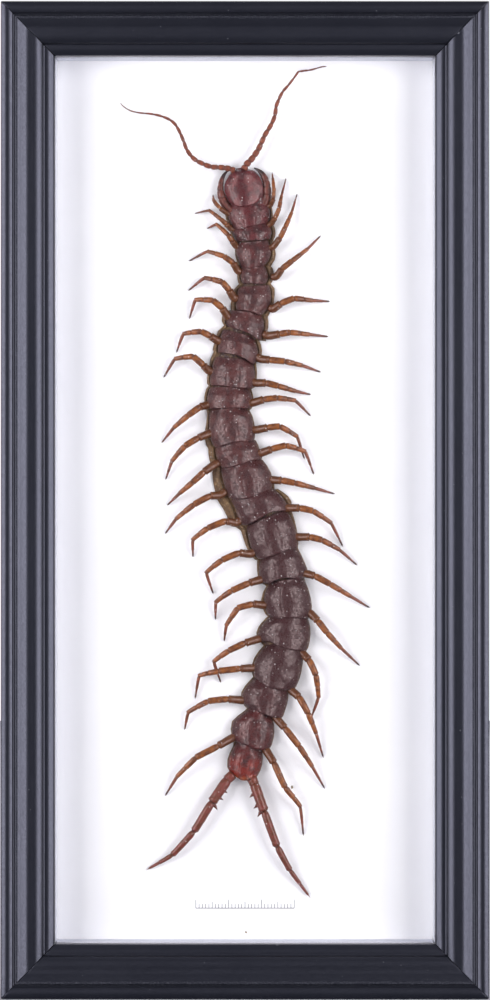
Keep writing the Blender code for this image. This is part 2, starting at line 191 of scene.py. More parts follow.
def skin(name, shells, finish, marks=None, flat_ends=False):
    """One smooth object from closed shells, each an array of rings of points."""
    verts, faces, start = [], [], 0
    for rings in shells:
        rings = np.asarray(rings, float)
        n, m = rings.shape[:2]
        index = start + np.arange(n * m).reshape(n, m)
        after = np.roll(index, -1, axis=1)
        quads = np.stack([index[:-1], after[:-1], after[1:], index[1:]], axis=-1).reshape(-1, 4)
        points = rings.reshape(-1, 3)
        a, b, c, d = (points[quads[:, k] - start] - points.mean(axis=0) for k in range(4))
        volume = np.einsum("ij,ij->i", a, np.cross(b, c)) + np.einsum("ij,ij->i", a, np.cross(c, d))
        order = -1 if volume.sum() < 0 else 1
        ends = [end_faces(index[0], flat_ends), [f[::-1] for f in end_faces(index[-1], flat_ends)]]
        for face in [*quads.tolist(), *ends[0], *ends[1]]:
            faces.append(face[::order])
        verts.append(points)
        start += n * m
    mesh = bpy.data.meshes.new(name)
    mesh.from_pydata(np.vstack(verts).tolist(), [], faces)
    mesh.shade_smooth()
    for mark, values in (marks or {}).items():
        layer = mesh.attributes.new(mark, "FLOAT", "POINT")
        layer.data.foreach_set("value", np.concatenate([np.ravel(v) for v in values]).astype(np.float32))
    mesh.materials.append(finish)
    obj = bpy.data.objects.new(name, mesh)
    bpy.context.scene.collection.objects.link(obj)
    return obj


def place(obj, slot, *nodes):
    """Fix a piece in the frame and let it stand for these nodes, which it hides. The slot is not used."""
    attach(obj, "root")
    if nodes:
        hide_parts(*nodes)
    return obj


def tube(path, wide, high, sides=16, turn=0.0):
    """Rings round a path in the frame: half widths along the card, half heights away from it."""
    path = np.asarray(path, float)
    wide, high = (np.broadcast_to(v, len(path)) * MM for v in (wide, high))
    along = np.gradient(path, axis=0)
    along /= np.linalg.norm(along, axis=1)[:, None]
    side = np.cross(along, (0.0, -1.0, 0.0))
    side /= np.linalg.norm(side, axis=1)[:, None]
    over = np.cross(side, along)
    angle = np.linspace(0, 2 * pi, sides, endpoint=False) + turn
    return (
        path[:, None]
        + side[:, None] * (wide[:, None] * np.cos(angle))[..., None]
        + over[:, None] * (high[:, None] * np.sin(angle))[..., None]
    )


# %% [markdown]
# Materials by hand
#
# A material is a small machine of nodes. These helpers add a node and join its sockets, so
# that each material below reads as a recipe.

# %% Small helpers for nodes
def add(tree, kind, values=None, **settings):
    """A node with settings, whose inputs take a value or another node's output."""
    made = tree.nodes.new(kind)
    for key, value in settings.items():
        setattr(made, key, value)
    for key, value in (values or {}).items():
        if isinstance(value, bpy.types.NodeSocket):
            tree.links.new(value, made.inputs[key])
        else:
            made.inputs[key].default_value = value
    return made


def math(tree, operation, a, b=0.0, clamp=False):
    return add(tree, "ShaderNodeMath", {0: a, 1: b}, operation=operation, use_clamp=clamp).outputs[0]


def mix(tree, share, a, b, blend="MIX"):
    """One colour blended into another."""
    made = add(tree, "ShaderNodeMix", {0: share, 6: a, 7: b}, data_type="RGBA", blend_type=blend)
    return made.outputs[2]


def ramp(tree, value, low, high, out_low=0.0, out_high=1.0):
    """A value moved smoothly from one range to another."""
    settings = {"Value": value, "From Min": low, "From Max": high, "To Min": out_low, "To Max": out_high}
    return add(tree, "ShaderNodeMapRange", settings, interpolation_type="SMOOTHSTEP").outputs[0]


def mark(tree, name):
    """A value that the mesh carries on its points."""
    return add(tree, "ShaderNodeAttribute", attribute_name=name).outputs["Fac"]


def new_group(name, inputs, outputs):
    """An empty shader group with named sockets: its tree, its inputs and its output node."""
    tree = bpy.data.node_groups.new(name, "ShaderNodeTree")
    kinds = {"colour": "NodeSocketColor", "value": "NodeSocketFloat"}
    for socket, kind, default in inputs:
        tree.interface.new_socket(socket, in_out="INPUT", socket_type=kinds[kind]).default_value = default
    for socket, kind in outputs:
        tree.interface.new_socket(socket, in_out="OUTPUT", socket_type=kinds[kind])
    return tree, add(tree, "NodeGroupInput").outputs, add(tree, "NodeGroupOutput").inputs


def use(tree, group, **values):
    """A copy of a group in a material. Underscores in the keys stand for spaces."""
    made = add(tree, "ShaderNodeGroup", node_tree=group)
    for key, value in values.items():
        socket = made.inputs[key.replace("_", " ")]
        if isinstance(value, bpy.types.NodeSocket):
            tree.links.new(value, socket)
        else:
            socket.default_value = value
    return made.outputs


def new_finish(name, roughness=0.5, ior=1.5, **settings):
    """A material with only its Principled shader: the tree, the shader and the material."""
    made = bpy.data.materials.new(name)
    made.use_nodes = True
    shader = made.node_tree.nodes["Principled BSDF"]
    shader.inputs["Roughness"].default_value = roughness
    shader.inputs["IOR"].default_value = ior
    for key, value in settings.items():
        shader.inputs[key.replace("_", " ")].default_value = value
    return made.node_tree, shader, made


def millimetres(tree):
    """Places on the object in millimetres."""
    where = add(tree, "ShaderNodeTexCoord").outputs["Object"]
    return add(tree, "ShaderNodeVectorMath", {0: where, 3: 1 / MM}, operation="SCALE").outputs[0]


def bump(tree, shader, height, depth):
    """Feed a height in millimetres to the shader's normal."""
    made = add(tree, "ShaderNodeBump", {"Height": height, "Strength": 1.0, "Distance": depth * MM})
    tree.links.new(made.outputs[0], shader.inputs["Normal"])


# %% [markdown]
# Dust
#
# Everything in the picture carries a few white specks. Voronoi cells give each speck its own
# centre, and the cell's random colour decides whether it has one and how big it is. Black
# paint and dark skin both need it, so it is a group.

# %% A group for dust specks
def dust_group():
    tree, given, out = new_group(
        "dust specks",
        [("Spacing", "value", 1.0), ("Size", "value", 0.1), ("Share", "value", 0.3)],
        [("Specks", "value")],
    )
    scale = math(tree, "DIVIDE", 1.0, given["Spacing"])
    cells = add(tree, "ShaderNodeTexVoronoi", {"Vector": millimetres(tree), "Scale": scale})
    random = add(tree, "ShaderNodeSeparateColor", {0: cells.outputs["Color"]}).outputs
    reach = math(tree, "DIVIDE", given["Size"], given["Spacing"])
    reach = math(tree, "MULTIPLY", reach, math(tree, "ADD", 0.35, random[1]))
    near = ramp(tree, math(tree, "DIVIDE", cells.outputs["Distance"], reach), 0.6, 1.0, 1.0, 0.0)
    here = math(tree, "LESS_THAN", random[0], given["Share"])
    tree.links.new(math(tree, "MULTIPLY", near, here), out["Specks"])
    return tree


DUST = dust_group()

# %% [markdown]
# Dried skin
#
# The animal's skin is thin horn. It is blotched where it dried unevenly, has fine pits, and
# shines less where it is pitted. Its pits are darkened, as painted shade. One group serves the
# plates, head, claws, feelers and legs, each with its own colours and sizes.

# %% A group for blotched, pitted skin
def skin_group():
    tree, given, out = new_group(
        "dried skin",
        [
            ("Colour", "colour", (0.1, 0.03, 0.03, 1)),
            ("Blotch colour", "colour", (0.05, 0.02, 0.02, 1)),
            ("Blotch size", "value", 2.0),
            ("Pit size", "value", 0.3),
            ("Gloss", "value", 0.3),
            ("Dust", "value", 0.3),
        ],
        [("Colour", "colour"), ("Roughness", "value"), ("Height", "value")],
    )
    where = millimetres(tree)
    blotch = add(tree, "ShaderNodeTexNoise", {
        "Vector": where,
        "Scale": math(tree, "DIVIDE", 1.0, given["Blotch size"]),
        "Detail": 4.0,
        "Roughness": 0.6,
    }).outputs[0]
    pits = add(tree, "ShaderNodeTexNoise", {
        "Vector": where,
        "Scale": math(tree, "DIVIDE", 1.0, given["Pit size"]),
        "Detail": 3.0,
        "Roughness": 0.65,
    }).outputs[0]
    colour = mix(tree, ramp(tree, blotch, 0.38, 0.66), given["Colour"], given["Blotch colour"])
    pitted = ramp(tree, pits, 0.28, 0.5)
    # painted shade: the colour is darkened in the pits, where the height sinks
    shaded = mix(tree, pitted, mix(tree, 0.55, colour, (0.01, 0.006, 0.006, 1)), colour)
    specks = use(tree, DUST, Spacing=0.9, Size=0.21, Share=given["Dust"])["Specks"]
    dusty = mix(tree, math(tree, "MULTIPLY", specks, 0.6), shaded, (0.6, 0.55, 0.54, 1))
    tree.links.new(dusty, out["Colour"])
    rough = math(tree, "ADD", given["Gloss"], math(tree, "MULTIPLY", ramp(tree, pits, 0.6, 0.35), 0.24))
    rough = math(tree, "ADD", rough, math(tree, "MULTIPLY", specks, 0.4), clamp=True)
    tree.links.new(rough, out["Roughness"])
    high = math(tree, "ADD", math(tree, "MULTIPLY", pitted, 0.6), math(tree, "MULTIPLY", blotch, 0.5))
    tree.links.new(math(tree, "ADD", high, math(tree, "MULTIPLY", specks, 0.6)), out["Height"])
    return tree


SKIN = skin_group()

# %% [markdown]
# Camera
#
# The picture was taken straight on, so the lines of the frame stay parallel to its edges.

# %% The camera
camera = bpy.data.objects.new("camera", bpy.data.cameras.new("camera"))
bpy.context.scene.collection.objects.link(camera)
bpy.context.scene.camera = camera
camera.location = (0, FRONT - CAMERA_DISTANCE, MIDDLE_HEIGHT)
camera.rotation_euler = (pi / 2, 0, 0)
camera.data.sensor_width = 36
camera.data.lens = 36 * CAMERA_DISTANCE / (1000 * PIXEL)
camera.data.clip_start = 0.05
print("lens:", round(camera.data.lens, 1), "mm")

# %% [markdown]
# The moulding's shape
#
# Each rail is one length of moulded wood: a round bead at the outer edge, a narrow groove, a
# slope down to a hollow, a rounded step and a quarter-round lip that holds the glass. The
# section is drawn once, as distance in from the outer edge and depth behind the front.

# %% The section of a rail
RAIL_WIDTH = 15.9
LIP_BACK = 9.0
REBATE = 10.9
RAIL_DEPTH = 30.0


def bow(start, end, bulge, count):
    """A shallow arc between two points, pushed out towards the front."""
    start, end = np.array(start), np.array(end)
    t = np.linspace(0, 1, count)[:, None]
    across = np.array([end[1] - start[1], start[0] - end[0]])
    return start + (end - start) * t + across / np.linalg.norm(across) * bulge * 4 * t * (1 - t)


def rail_front():
    bead = bow((0.12, 0.52), (3.42, 0.52), 0.52, 28)
    groove = through([(3.5, 0.8), (3.62, 1.08), (3.85, 1.2), (4.08, 1.1), (4.35, 0.8), (4.55, 0.76)], 16)
    fillet = bow((4.7, 0.79), (5.3, 1.0), 0.03, 6)
    slope = bow((5.6, 1.13), (7.2, 1.83), 0.02, 8)
    hollow = bow((7.35, 1.9), (8.6, 2.15), -0.05, 8)
    rounded = bow((9.2, 2.16), (12.25, 3.25), 0.33, 26)
    quirk = through([(12.35, 3.4), (12.47, 3.9), (12.6, 4.2), (12.85, 4.33)], 8)
    lip = through([
        (12.95, 4.35), (13.5, 4.36), (14.1, 4.47), (14.7, 4.72), (15.2, 5.0), (15.6, 5.27),
        (15.83, 5.6), (15.9, 6.2),
    ], 28)
    outer = through([(0.0, 1.3), (0.0, 0.85), (0.04, 0.62)], 6)
    return np.vstack([outer, bead, groove, fillet, slope, hollow, rounded, quirk, lip])


def rail_section():
    front = rail_front()
    front[:, 0] = np.clip(front[:, 0], 0, RAIL_WIDTH)
    back = np.array([
        (RAIL_WIDTH, 7.3), (RAIL_WIDTH, LIP_BACK - 0.15), (RAIL_WIDTH - 0.15, LIP_BACK),
        (REBATE + 0.2, LIP_BACK), (REBATE, LIP_BACK + 0.2), (REBATE, RAIL_DEPTH - 0.4),
        (REBATE - 0.12, RAIL_DEPTH - 0.1), (REBATE - 0.4, RAIL_DEPTH), (0.45, RAIL_DEPTH),
        (0.12, RAIL_DEPTH - 0.1), (0.0, RAIL_DEPTH - 0.45), (0.0, 2.0),
    ])
    section = np.vstack([front, back])
    return section if len(section) % 2 == 0 else np.vstack([section, (0.0, 1.6)])


SECTION = rail_section()
print("points in the rail's section:", len(SECTION))

# %% [markdown]
# Black lacquer
#
# The paint is black with a breath of blue, satin rather than glossy. Its flats look dark grey
# and its slopes catch the soft lights at each side. The groove is rough with trapped dust,
# and a few white specks lie all over it. The back of the rail was never sprayed on purpose,
# so bare wood shows there through a thin mist of black.

# %% Lacquer and bare wood
def lacquer():
    tree, shader, made = new_finish("black lacquer", 0.36, 1.6, Specular_Tint=(0.77, 0.79, 1, 1))
    where = millimetres(tree)
    fine = add(tree, "ShaderNodeTexNoise", {"Vector": where, "Scale": 1.6, "Detail": 3.0}).outputs[0]
    broad = add(tree, "ShaderNodeTexNoise", {"Vector": where, "Scale": 0.05, "Detail": 2.0}).outputs[0]
    small = use(tree, DUST, Spacing=2.6, Size=0.2, Share=0.3)["Specks"]
    large = use(tree, DUST, Spacing=9.0, Size=0.5, Share=0.22)["Specks"]
    groove = ramp(tree, mark(tree, "groove"), 0.2, 0.9)
    dirt = add(tree, "ShaderNodeTexNoise", {"Vector": where, "Scale": 2.4, "Detail": 2.0}).outputs[0]
    grit = math(tree, "MULTIPLY", groove, ramp(tree, dirt, 0.45, 0.7))
    specks = math(tree, "MAXIMUM", math(tree, "MAXIMUM", small, large), math(tree, "MULTIPLY", grit, 0.35))
    paint = mix(tree, ramp(tree, broad, 0.35, 0.65), (0.0045, 0.005, 0.0072, 1), (0.006, 0.0066, 0.009, 1))
    paint = mix(tree, math(tree, "MULTIPLY", specks, 0.16), paint, (0.5, 0.52, 0.58, 1))
    grain = add(tree, "ShaderNodeTexWave", {
        "Vector": where, "Scale": 0.35, "Distortion": 7.0, "Detail": 4.0, "Detail Scale": 0.6,
    }, bands_direction="X").outputs["Fac"]
    wood = mix(tree, ramp(tree, grain, 0.2, 0.8), (0.36, 0.22, 0.11, 1), (0.27, 0.15, 0.07, 1))
    mist = add(tree, "ShaderNodeTexNoise", {"Vector": where, "Scale": 0.18, "Detail": 6.0}).outputs[0]
    bare = math(tree, "MULTIPLY", mark(tree, "bare"), ramp(tree, mist, 0.3, 0.55))
    tree.links.new(mix(tree, bare, paint, wood), shader.inputs["Base Color"])
    rough = ramp(tree, fine, 0.3, 0.7, 0.33, 0.41)
    dull = math(tree, "MULTIPLY", math(tree, "MAXIMUM", bare, specks), 0.4)
    tree.links.new(math(tree, "ADD", rough, dull, clamp=True), shader.inputs["Roughness"])
    high = math(tree, "ADD", math(tree, "MULTIPLY", fine, 0.35), specks)
    bump(tree, shader, high, 0.02)
    return made


LACQUER = lacquer()

# %% [markdown]
# Four rails
#
# The rails meet in mitres, so each ring across a rail leans at 45 degrees at its ends. Paint
# draws back from a cut edge, so the last tenth of a millimetre is rounded over, and the joint
# shows as a fine dark line with a glint beside it.

# %% Build the rails
FRAME_WIDTH = (cad_high.x - cad_low.x) / MM
FRAME_HEIGHT = (cad_high.z - cad_low.z) / MM
MITRE_GAP = 0.05


def add_rail(name, length, turn, shift):
    """A rail along its own length with its outer edge at 0, then turned into place."""
    u, d = SECTION[:, 0], SECTION[:, 1]
    corner = np.array([0.0, 0.03, 0.08, 0.16, 0.3, 6.0, 30.0])
    sunk = np.array([0.11, 0.06, 0.025, 0.006, 0.0, 0.0, 0.0])
    inset = np.concatenate([corner, corner[::-1]])
    lowered = np.concatenate([sunk, sunk[::-1]])
    rings, groove, bare = [], [], []
    for i, (gap, low) in enumerate(zip(inset, lowered)):
        side = -1 if i < len(corner) else 1
        x = side * (length / 2 - u - MITRE_GAP - gap)
        middle_u, middle_d = 8.0, 16.0
        pull = low / 12.0
        rings.append(np.stack([x, d + (middle_d - d) * pull, u + (middle_u - u) * pull], axis=-1))
        groove.append(np.exp(-(((u - 4.6) / 0.75) ** 2)) * (d < 2))
        bare.append(step(d, RAIL_DEPTH - 0.35, RAIL_DEPTH - 0.05) + (u > REBATE - 0.05) * (d > LIP_BACK + 0.1))
    rings = np.array(rings)
    along, behind, up = rings[..., 0], rings[..., 1], rings[..., 2]
    x = along * cos(turn) + up * sin(turn)
    z = -along * sin(turn) + up * cos(turn)
    places = np.stack([x * MM + shift[0], behind * MM + FRONT, z * MM + shift[1]], axis=-1)
    marks = {"groove": [groove], "bare": [bare]}
    obj = skin(name.replace("rail", "moulding"), [places], LACQUER, marks, flat_ends=True)
    obj.data.set_sharp_from_angle(angle=radians(60))
    return place(obj, "black_lacquer", name)


for name, length, turn, shift in (
    ("rail_bottom", FRAME_WIDTH, 0.0, (0, 0)),
    ("rail_top", FRAME_WIDTH, pi, (0, FRAME_HEIGHT * MM)),
    ("rail_left", FRAME_HEIGHT, pi / 2, (-FRAME_WIDTH / 2 * MM, MIDDLE_HEIGHT)),
    ("rail_right", FRAME_HEIGHT, -pi / 2, (FRAME_WIDTH / 2 * MM, MIDDLE_HEIGHT)),
):
    add_rail(name, length, turn, shift)

# %% [markdown]
# Layers behind the lip
#
# Behind the lip lie the glass, foam strips that keep it off the animal, the card and a
# hardboard back. These are flat sheets with the right size already, so they keep the frame's
# own solids, with their edges rounded a little and a finish of their own. The glass doesn't
# hold back light from the lamps or in reflections, because a plain sheet of it would only add
# grain to the picture.

# %% Soften a sheet's edges and give it its finish
def dress(node, finish, edge):
    """The frame's own solid, with rounded edges and a new finish."""
    obj = frame["nodes"][node]
    obj.data.materials.clear()
    obj.data.materials.append(finish)
    if edge:
        rounding = obj.modifiers.new("rounded edges", "BEVEL")
        rounding.width = edge * MM
        rounding.segments = 3
        rounding.limit_method = "ANGLE"
        rounding.harden_normals = True
    obj.data.shade_smooth()
    obj.data.set_sharp_from_angle(angle=radians(35))
    return obj


# %% [markdown]
# Picture glass
#
# Picture glass is thin float glass. Its refraction is kept a little low, as on coated glass,
# so that the front stays clear.

# %% The pane
def picture_glass():
    tree, shader, made = new_finish("picture glass", 0.0, 1.3, Transmission_Weight=1.0)
    shader.inputs["Base Color"].default_value = (0.985, 0.995, 0.99, 1)
    return made


pane = dress("glass_pane", picture_glass(), 0.2)
pane.visible_shadow = False
pane.visible_diffuse = False
pane.visible_glossy = False

# %% [markdown]
# White foam and white card
#
# The foam strips have a fine closed-cell surface. Their colour is a bluish grey, painted
# shade for white foam in the lip's shadow. The card is smooth board with a faint
# paper tooth.

# %% Foam and card
def foam_painted_shade():
    tree, shader, made = new_finish("foam in painted shade", 0.85)
    where = millimetres(tree)
    cells = add(tree, "ShaderNodeTexVoronoi", {"Vector": where, "Scale": 2.2}).outputs["Distance"]
    # painted shade: the white foam is coloured a bluish grey, as it looks in the lip's shadow
    tint = mix(tree, ramp(tree, cells, 0.0, 0.8), (0.6, 0.61, 0.68, 1), (0.68, 0.69, 0.76, 1))
    tree.links.new(tint, shader.inputs["Base Color"])
    bump(tree, shader, cells, 0.12)
    return made


def white_card():
    tree, shader, made = new_finish("white card", 0.72)
    where = millimetres(tree)
    tooth = add(tree, "ShaderNodeTexNoise", {"Vector": where, "Scale": 4.0, "Detail": 4.0}).outputs[0]
    broad = add(tree, "ShaderNodeTexNoise", {"Vector": where, "Scale": 0.04, "Detail": 2.0}).outputs[0]
    tint = mix(tree, ramp(tree, broad, 0.3, 0.7), (0.885, 0.88, 0.9, 1), (0.9, 0.895, 0.91, 1))
    specks = use(tree, DUST, Spacing=14.0, Size=0.22, Share=0.3)["Specks"]
    tint = mix(tree, math(tree, "MULTIPLY", specks, 0.35), tint, (0.3, 0.27, 0.22, 1))
    tree.links.new(tint, shader.inputs["Base Color"])
    bump(tree, shader, tooth, 0.02)
    return made


FOAM = foam_painted_shade()
for side in ("top", "bottom", "left", "right"):
    dress("spacer_" + side, FOAM, 0.25)
dress("mount_card", white_card(), 0.15)

# %% [markdown]
# Hardboard back
#
# Hardboard is pressed brown fibre: smooth on one side, and on the other printed with the fine
# mesh of its press. The mesh side faces out here. Two sine waves at right angles make the
# mesh, and stretched noise makes the fibres.

# %% The back board
def hardboard():
    tree, shader, made = new_finish("hardboard", 0.75)
    where = millimetres(tree)
    long_way = add(tree, "ShaderNodeVectorMath", {0: where, 1: (0.5, 3.0, 2.4)}, operation="MULTIPLY")
    fibre = add(tree, "ShaderNodeTexNoise", {
        "Vector": long_way.outputs[0], "Scale": 0.9, "Detail": 6.0, "Roughness": 0.7,
    }).outputs[0]
    blotch = add(tree, "ShaderNodeTexNoise", {"Vector": where, "Scale": 0.06, "Detail": 3.0}).outputs[0]
    parts = add(tree, "ShaderNodeSeparateXYZ", {0: where}).outputs
    one = math(tree, "SINE", math(tree, "MULTIPLY", parts["X"], 2 * pi / 1.3))
    other = math(tree, "SINE", math(tree, "MULTIPLY", parts["Z"], 2 * pi / 1.3))
    mesh = math(tree, "MULTIPLY", one, other)
    tint = mix(tree, ramp(tree, fibre, 0.3, 0.72), (0.2, 0.105, 0.05, 1), (0.34, 0.2, 0.1, 1))
    tint = mix(tree, ramp(tree, blotch, 0.35, 0.7, 0.0, 0.5), tint, (0.16, 0.085, 0.045, 1))
    tint = mix(tree, ramp(tree, mesh, -0.2, 0.9, 0.0, 0.35), tint, (0.12, 0.06, 0.03, 1))
    tree.links.new(tint, shader.inputs["Base Color"])
    high = math(tree, "SUBTRACT", math(tree, "MULTIPLY", fibre, 0.8), math(tree, "MULTIPLY", mesh, 0.5))
    bump(tree, shader, high, 0.14)
    return made


dress("back_board", hardboard(), 0.3)

# %% [markdown]
# Steel on the back
#
# A toothed hanger is nailed to the top rail, and flat steel points driven into the rebate
# hold the board in. A nail is a turned shape, so its rings are circles of changing radius. A
# point is a flat outline with a thickness, and its first and last rings are a little smaller,
# which takes the sharpness off its edges.

# %% Steel
def zinc_steel():
    tree, shader, made = new_finish("zinc steel", 0.38, 1.5, Metallic=1.0)
    where = millimetres(tree)
    stretched = add(tree, "ShaderNodeVectorMath", {0: where, 1: (0.25, 6.0, 6.0)}, operation="MULTIPLY")
    brushed = add(tree, "ShaderNodeTexNoise", {"Vector": stretched.outputs[0], "Scale": 1.5}).outputs[0]
    spangle = add(tree, "ShaderNodeTexVoronoi", {"Vector": where, "Scale": 0.6}).outputs["Color"]
    shade = add(tree, "ShaderNodeSeparateColor", {0: spangle}).outputs[0]
    tint = mix(tree, math(tree, "MULTIPLY", shade, 0.6), (0.62, 0.62, 0.6, 1), (0.4, 0.41, 0.43, 1))
    tree.links.new(tint, shader.inputs["Base Color"])
    tree.links.new(ramp(tree, brushed, 0.3, 0.7, 0.3, 0.48), shader.inputs["Roughness"])
    bump(tree, shader, brushed, 0.02)
    return made


STEEL = zinc_steel()
dress("hanger_plate", STEEL, 0.1)

# %% Nails and points
NAIL_OUT = 18.0
NAIL_PROFILE = (
    (0.1, -3.0), (0.7, -2.2), (0.7, 0.0), (1.8, 0.02), (2.0, 0.2), (1.9, 0.5), (1.4, 0.85), (0.3, 1.0),
)
POINT_OUTLINE = (
    (-6.0, 0.2), (-1.5, 2.6), (6.0, 2.6), (6.6, 2.0), (6.6, -2.0), (6.0, -2.6), (-1.5, -2.6), (-6.0, -0.2),
)
POINT_LAYERS = ((0.92, 0.02), (1.0, 0.1), (1.0, 0.42), (0.92, 0.5))


def add_nail(name, x):
    """A nail through the hanger's hole, turned about the frame's depth."""
    low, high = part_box("hanger_plate")
    face = low.y + 0.8 * MM
    angle = np.linspace(0, 2 * pi, 32, endpoint=False)
    rings = []
    for radius, out in NAIL_PROFILE:
        across = x * MM + radius * MM * np.cos(angle)
        up = (low.z + high.z) / 2 + radius * MM * np.sin(angle)
        rings.append(np.stack([across, np.full(32, face + min(out, 1.38) * MM), up], axis=-1))
    place(skin(name, [rings], STEEL), "zinc_steel")


def add_points():
    """Flat points all round, each driven into the rebate's wall and lying on the board."""
    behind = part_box("back_board")[1].y
    wall_x, wall_z = FRAME_WIDTH / 2 - REBATE, FRAME_HEIGHT - REBATE
    spots = [(side * wall_x, z, -side, 0) for side in (-1, 1) for z in (38, 112, 187, 262)]
    spots += [(x, z, 0, way) for z, way in ((REBATE, 1), (wall_z, -1)) for x in (-31, 33)]
    shells = []
    for x, z, way_x, way_z in spots:
        rings = []
        for size, out in POINT_LAYERS:
            along, side = (np.array(POINT_OUTLINE) * size).T
            place_x = x + along * way_x - side * way_z
            place_z = z + along * way_z + side * way_x
            rings.append(np.stack([place_x * MM, np.full(8, behind + out * MM), place_z * MM], axis=-1))
        shells.append(rings)
    place(skin("flat_points", shells, STEEL, flat_ends=True), "zinc_steel")
    print("flat points:", len(shells))


add_nail("hanger_nail_left", -NAIL_OUT)
add_nail("hanger_nail_right", NAIL_OUT)
add_points()

# %% [markdown]
# A small printed scale
#
# Below the animal the card carries a line of small print. A plain scale of millimetres stands
# there, as thin printed bars: every fifth and tenth tick is longer. Two crumbs lie on the card.

# %% Scale and crumbs
SCALE_AT = (245, 908)
SCALE_LENGTH = 30


def printed_bar(left, right, low, high):
    """A bar of ink on the card, from corner positions in millimetres about the scale's middle."""
    middle = spot(SCALE_AT, 0)
    corners = np.array([(left, low), (right, low), (right, high), (left, high)]) * MM
    rings = []
    for y in (CARD_FACE + 0.05 * MM, CARD_FACE - 0.02 * MM):
        rings.append(np.stack([middle[0] + corners[:, 0], np.full(4, y), middle[2] + corners[:, 1]], axis=-1))
    return rings


def ink():
    tree, shader, made = new_finish("printer's ink", 0.6)
    blot = add(tree, "ShaderNodeTexNoise", {"Vector": millimetres(tree), "Scale": 3.0}).outputs[0]
    tint = mix(tree, ramp(tree, blot, 0.35, 0.7), (0.03, 0.03, 0.034, 1), (0.06, 0.06, 0.066, 1))
    tree.links.new(tint, shader.inputs["Base Color"])
    return made


def crumb():
    tree, shader, made = new_finish("crumb", 0.8)
    spots = add(tree, "ShaderNodeTexNoise", {"Vector": millimetres(tree), "Scale": 4.0}).outputs[0]
    tint = mix(tree, ramp(tree, spots, 0.4, 0.6), (0.3, 0.2, 0.06, 1), (0.14, 0.12, 0.1, 1))
    tree.links.new(tint, shader.inputs["Base Color"])
    return made


bars = [printed_bar(-SCALE_LENGTH / 2, SCALE_LENGTH / 2, -0.1, 0.1)]
for tick in range(SCALE_LENGTH + 1):
    tall = 2.6 if tick % 10 == 0 else 2.0 if tick % 5 == 0 else 1.3
    x = tick - SCALE_LENGTH / 2
    bars.append(printed_bar(x - 0.08, x + 0.08, 0.0, tall))
place(skin("printed_scale", bars, ink(), flat_ends=True), "white_card")

crumbs = []
for x, y, size in ((292, 787, 0.5), (246, 932, 0.26)):
    path = spot([(x - 1, y), (x - 0.5, y - 0.3), (x, y), (x + 0.6, y + 0.4), (x + 1, y)], 0.15)
    wide, high = size * np.array([(0.2, 0.8, 1.0, 0.7, 0.2), (0.2, 0.7, 0.8, 0.8, 0.2)])
    crumbs.append(tube(path, wide, high, 8))
place(skin("crumbs", crumbs, crumb()), "white_card")

# %% [markdown]
# Finishes of the animal
#
# Each finish chooses its colour from marks that the mesh carries: how far along a leg a point
# lies, how near a joint, which plate it belongs to. Then the shared skin group adds blotches,
# pits and dust.

# %% One recipe for all dried skin
WARM_SHEEN = (1, 0.84, 0.83, 1)


def cuticle(name, choose, blotch, sizes=(2.0, 0.3), gloss=0.34, dust=0.3, depth=0.03):
    """A dried-skin finish. choose(tree) gives its colour, sizes are its blotches and pits in mm."""
    tree, shader, made = new_finish(name, gloss, 1.5, Specular_Tint=WARM_SHEEN)
    given = {"Blotch_size": sizes[0], "Pit_size": sizes[1], "Gloss": gloss, "Dust": dust}
    out = use(tree, SKIN, Colour=choose(tree), Blotch_colour=(*blotch, 1), **given)
    tree.links.new(out["Colour"], shader.inputs["Base Color"])
    tree.links.new(out["Roughness"], shader.inputs["Roughness"])
    bump(tree, shader, out["Height"], depth)
    return made


def stages(tree, value, *colours):
    """Colours blended in turn: each (start, end, colour) takes over between two values."""
    made = (*colours[0], 1)
    for start, end, colour in colours[1:]:
        made = mix(tree, ramp(tree, value, start, end), made, (*colour, 1))
    return made


def plate_colour(tree):
    base = stages(
        tree, mark(tree, "number"), (0.09, 0.012, 0.014), (1.2, 4.0, (0.078, 0.021, 0.019)),
        (10.0, 15.0, (0.04, 0.0105, 0.0115)), (18.2, 20.8, (0.08, 0.011, 0.0095)),
    )
    last = ramp(tree, mark(tree, "number"), 20.2, 20.8)
    rear = ramp(tree, mark(tree, "lengthwise"), 0.25, 0.6)
    rim = ramp(tree, mark(tree, "lengthwise"), 0.82, 1.0)
    base = mix(tree, math(tree, "MULTIPLY", last, rear), base, (0.17, 0.011, 0.004, 1))
    base = mix(tree, math(tree, "MULTIPLY", last, rim), base, (0.28, 0.06, 0.006, 1))
    edge = ramp(tree, math(tree, "ABSOLUTE", mark(tree, "crosswise")), 0.8, 1.0, 0.0, 0.5)
    return mix(tree, edge, base, (0.075, 0.04, 0.02, 1))


def side_colour(tree):
    """Olive brown where the skin shows, and the plates' dark red below them."""
    folds = add(tree, "ShaderNodeTexNoise", {"Vector": millimetres(tree), "Scale": 1.0, "Detail": 4.0})
    olive = stages(
        tree, folds.outputs[0], (0.07, 0.036, 0.013), (0.35, 0.5, (0.17, 0.095, 0.038)),
        (0.55, 0.7, (0.36, 0.25, 0.13)),
    )
    below = ramp(tree, mark(tree, "outward"), 0.99, 0.85)
    return mix(tree, below, olive, (0.026, 0.008, 0.008, 1))


def leg_colour(tree):
    base = stages(
        tree, mark(tree, "along"), (0.11, 0.038, 0.011), (0.7, 1.1, (0.24, 0.075, 0.014)),
        (1.6, 2.4, (0.28, 0.085, 0.021)), (2.8, 3.3, (0.21, 0.056, 0.034)), (3.62, 3.86, (0.04, 0.024, 0.028)),
    )
    base = mix(tree, mark(tree, "trailing"), base, (0.17, 0.034, 0.024, 1))
    joint = math(tree, "MULTIPLY", mark(tree, "joint"), 0.75)
    return mix(tree, joint, base, (0.035, 0.013, 0.009, 1))


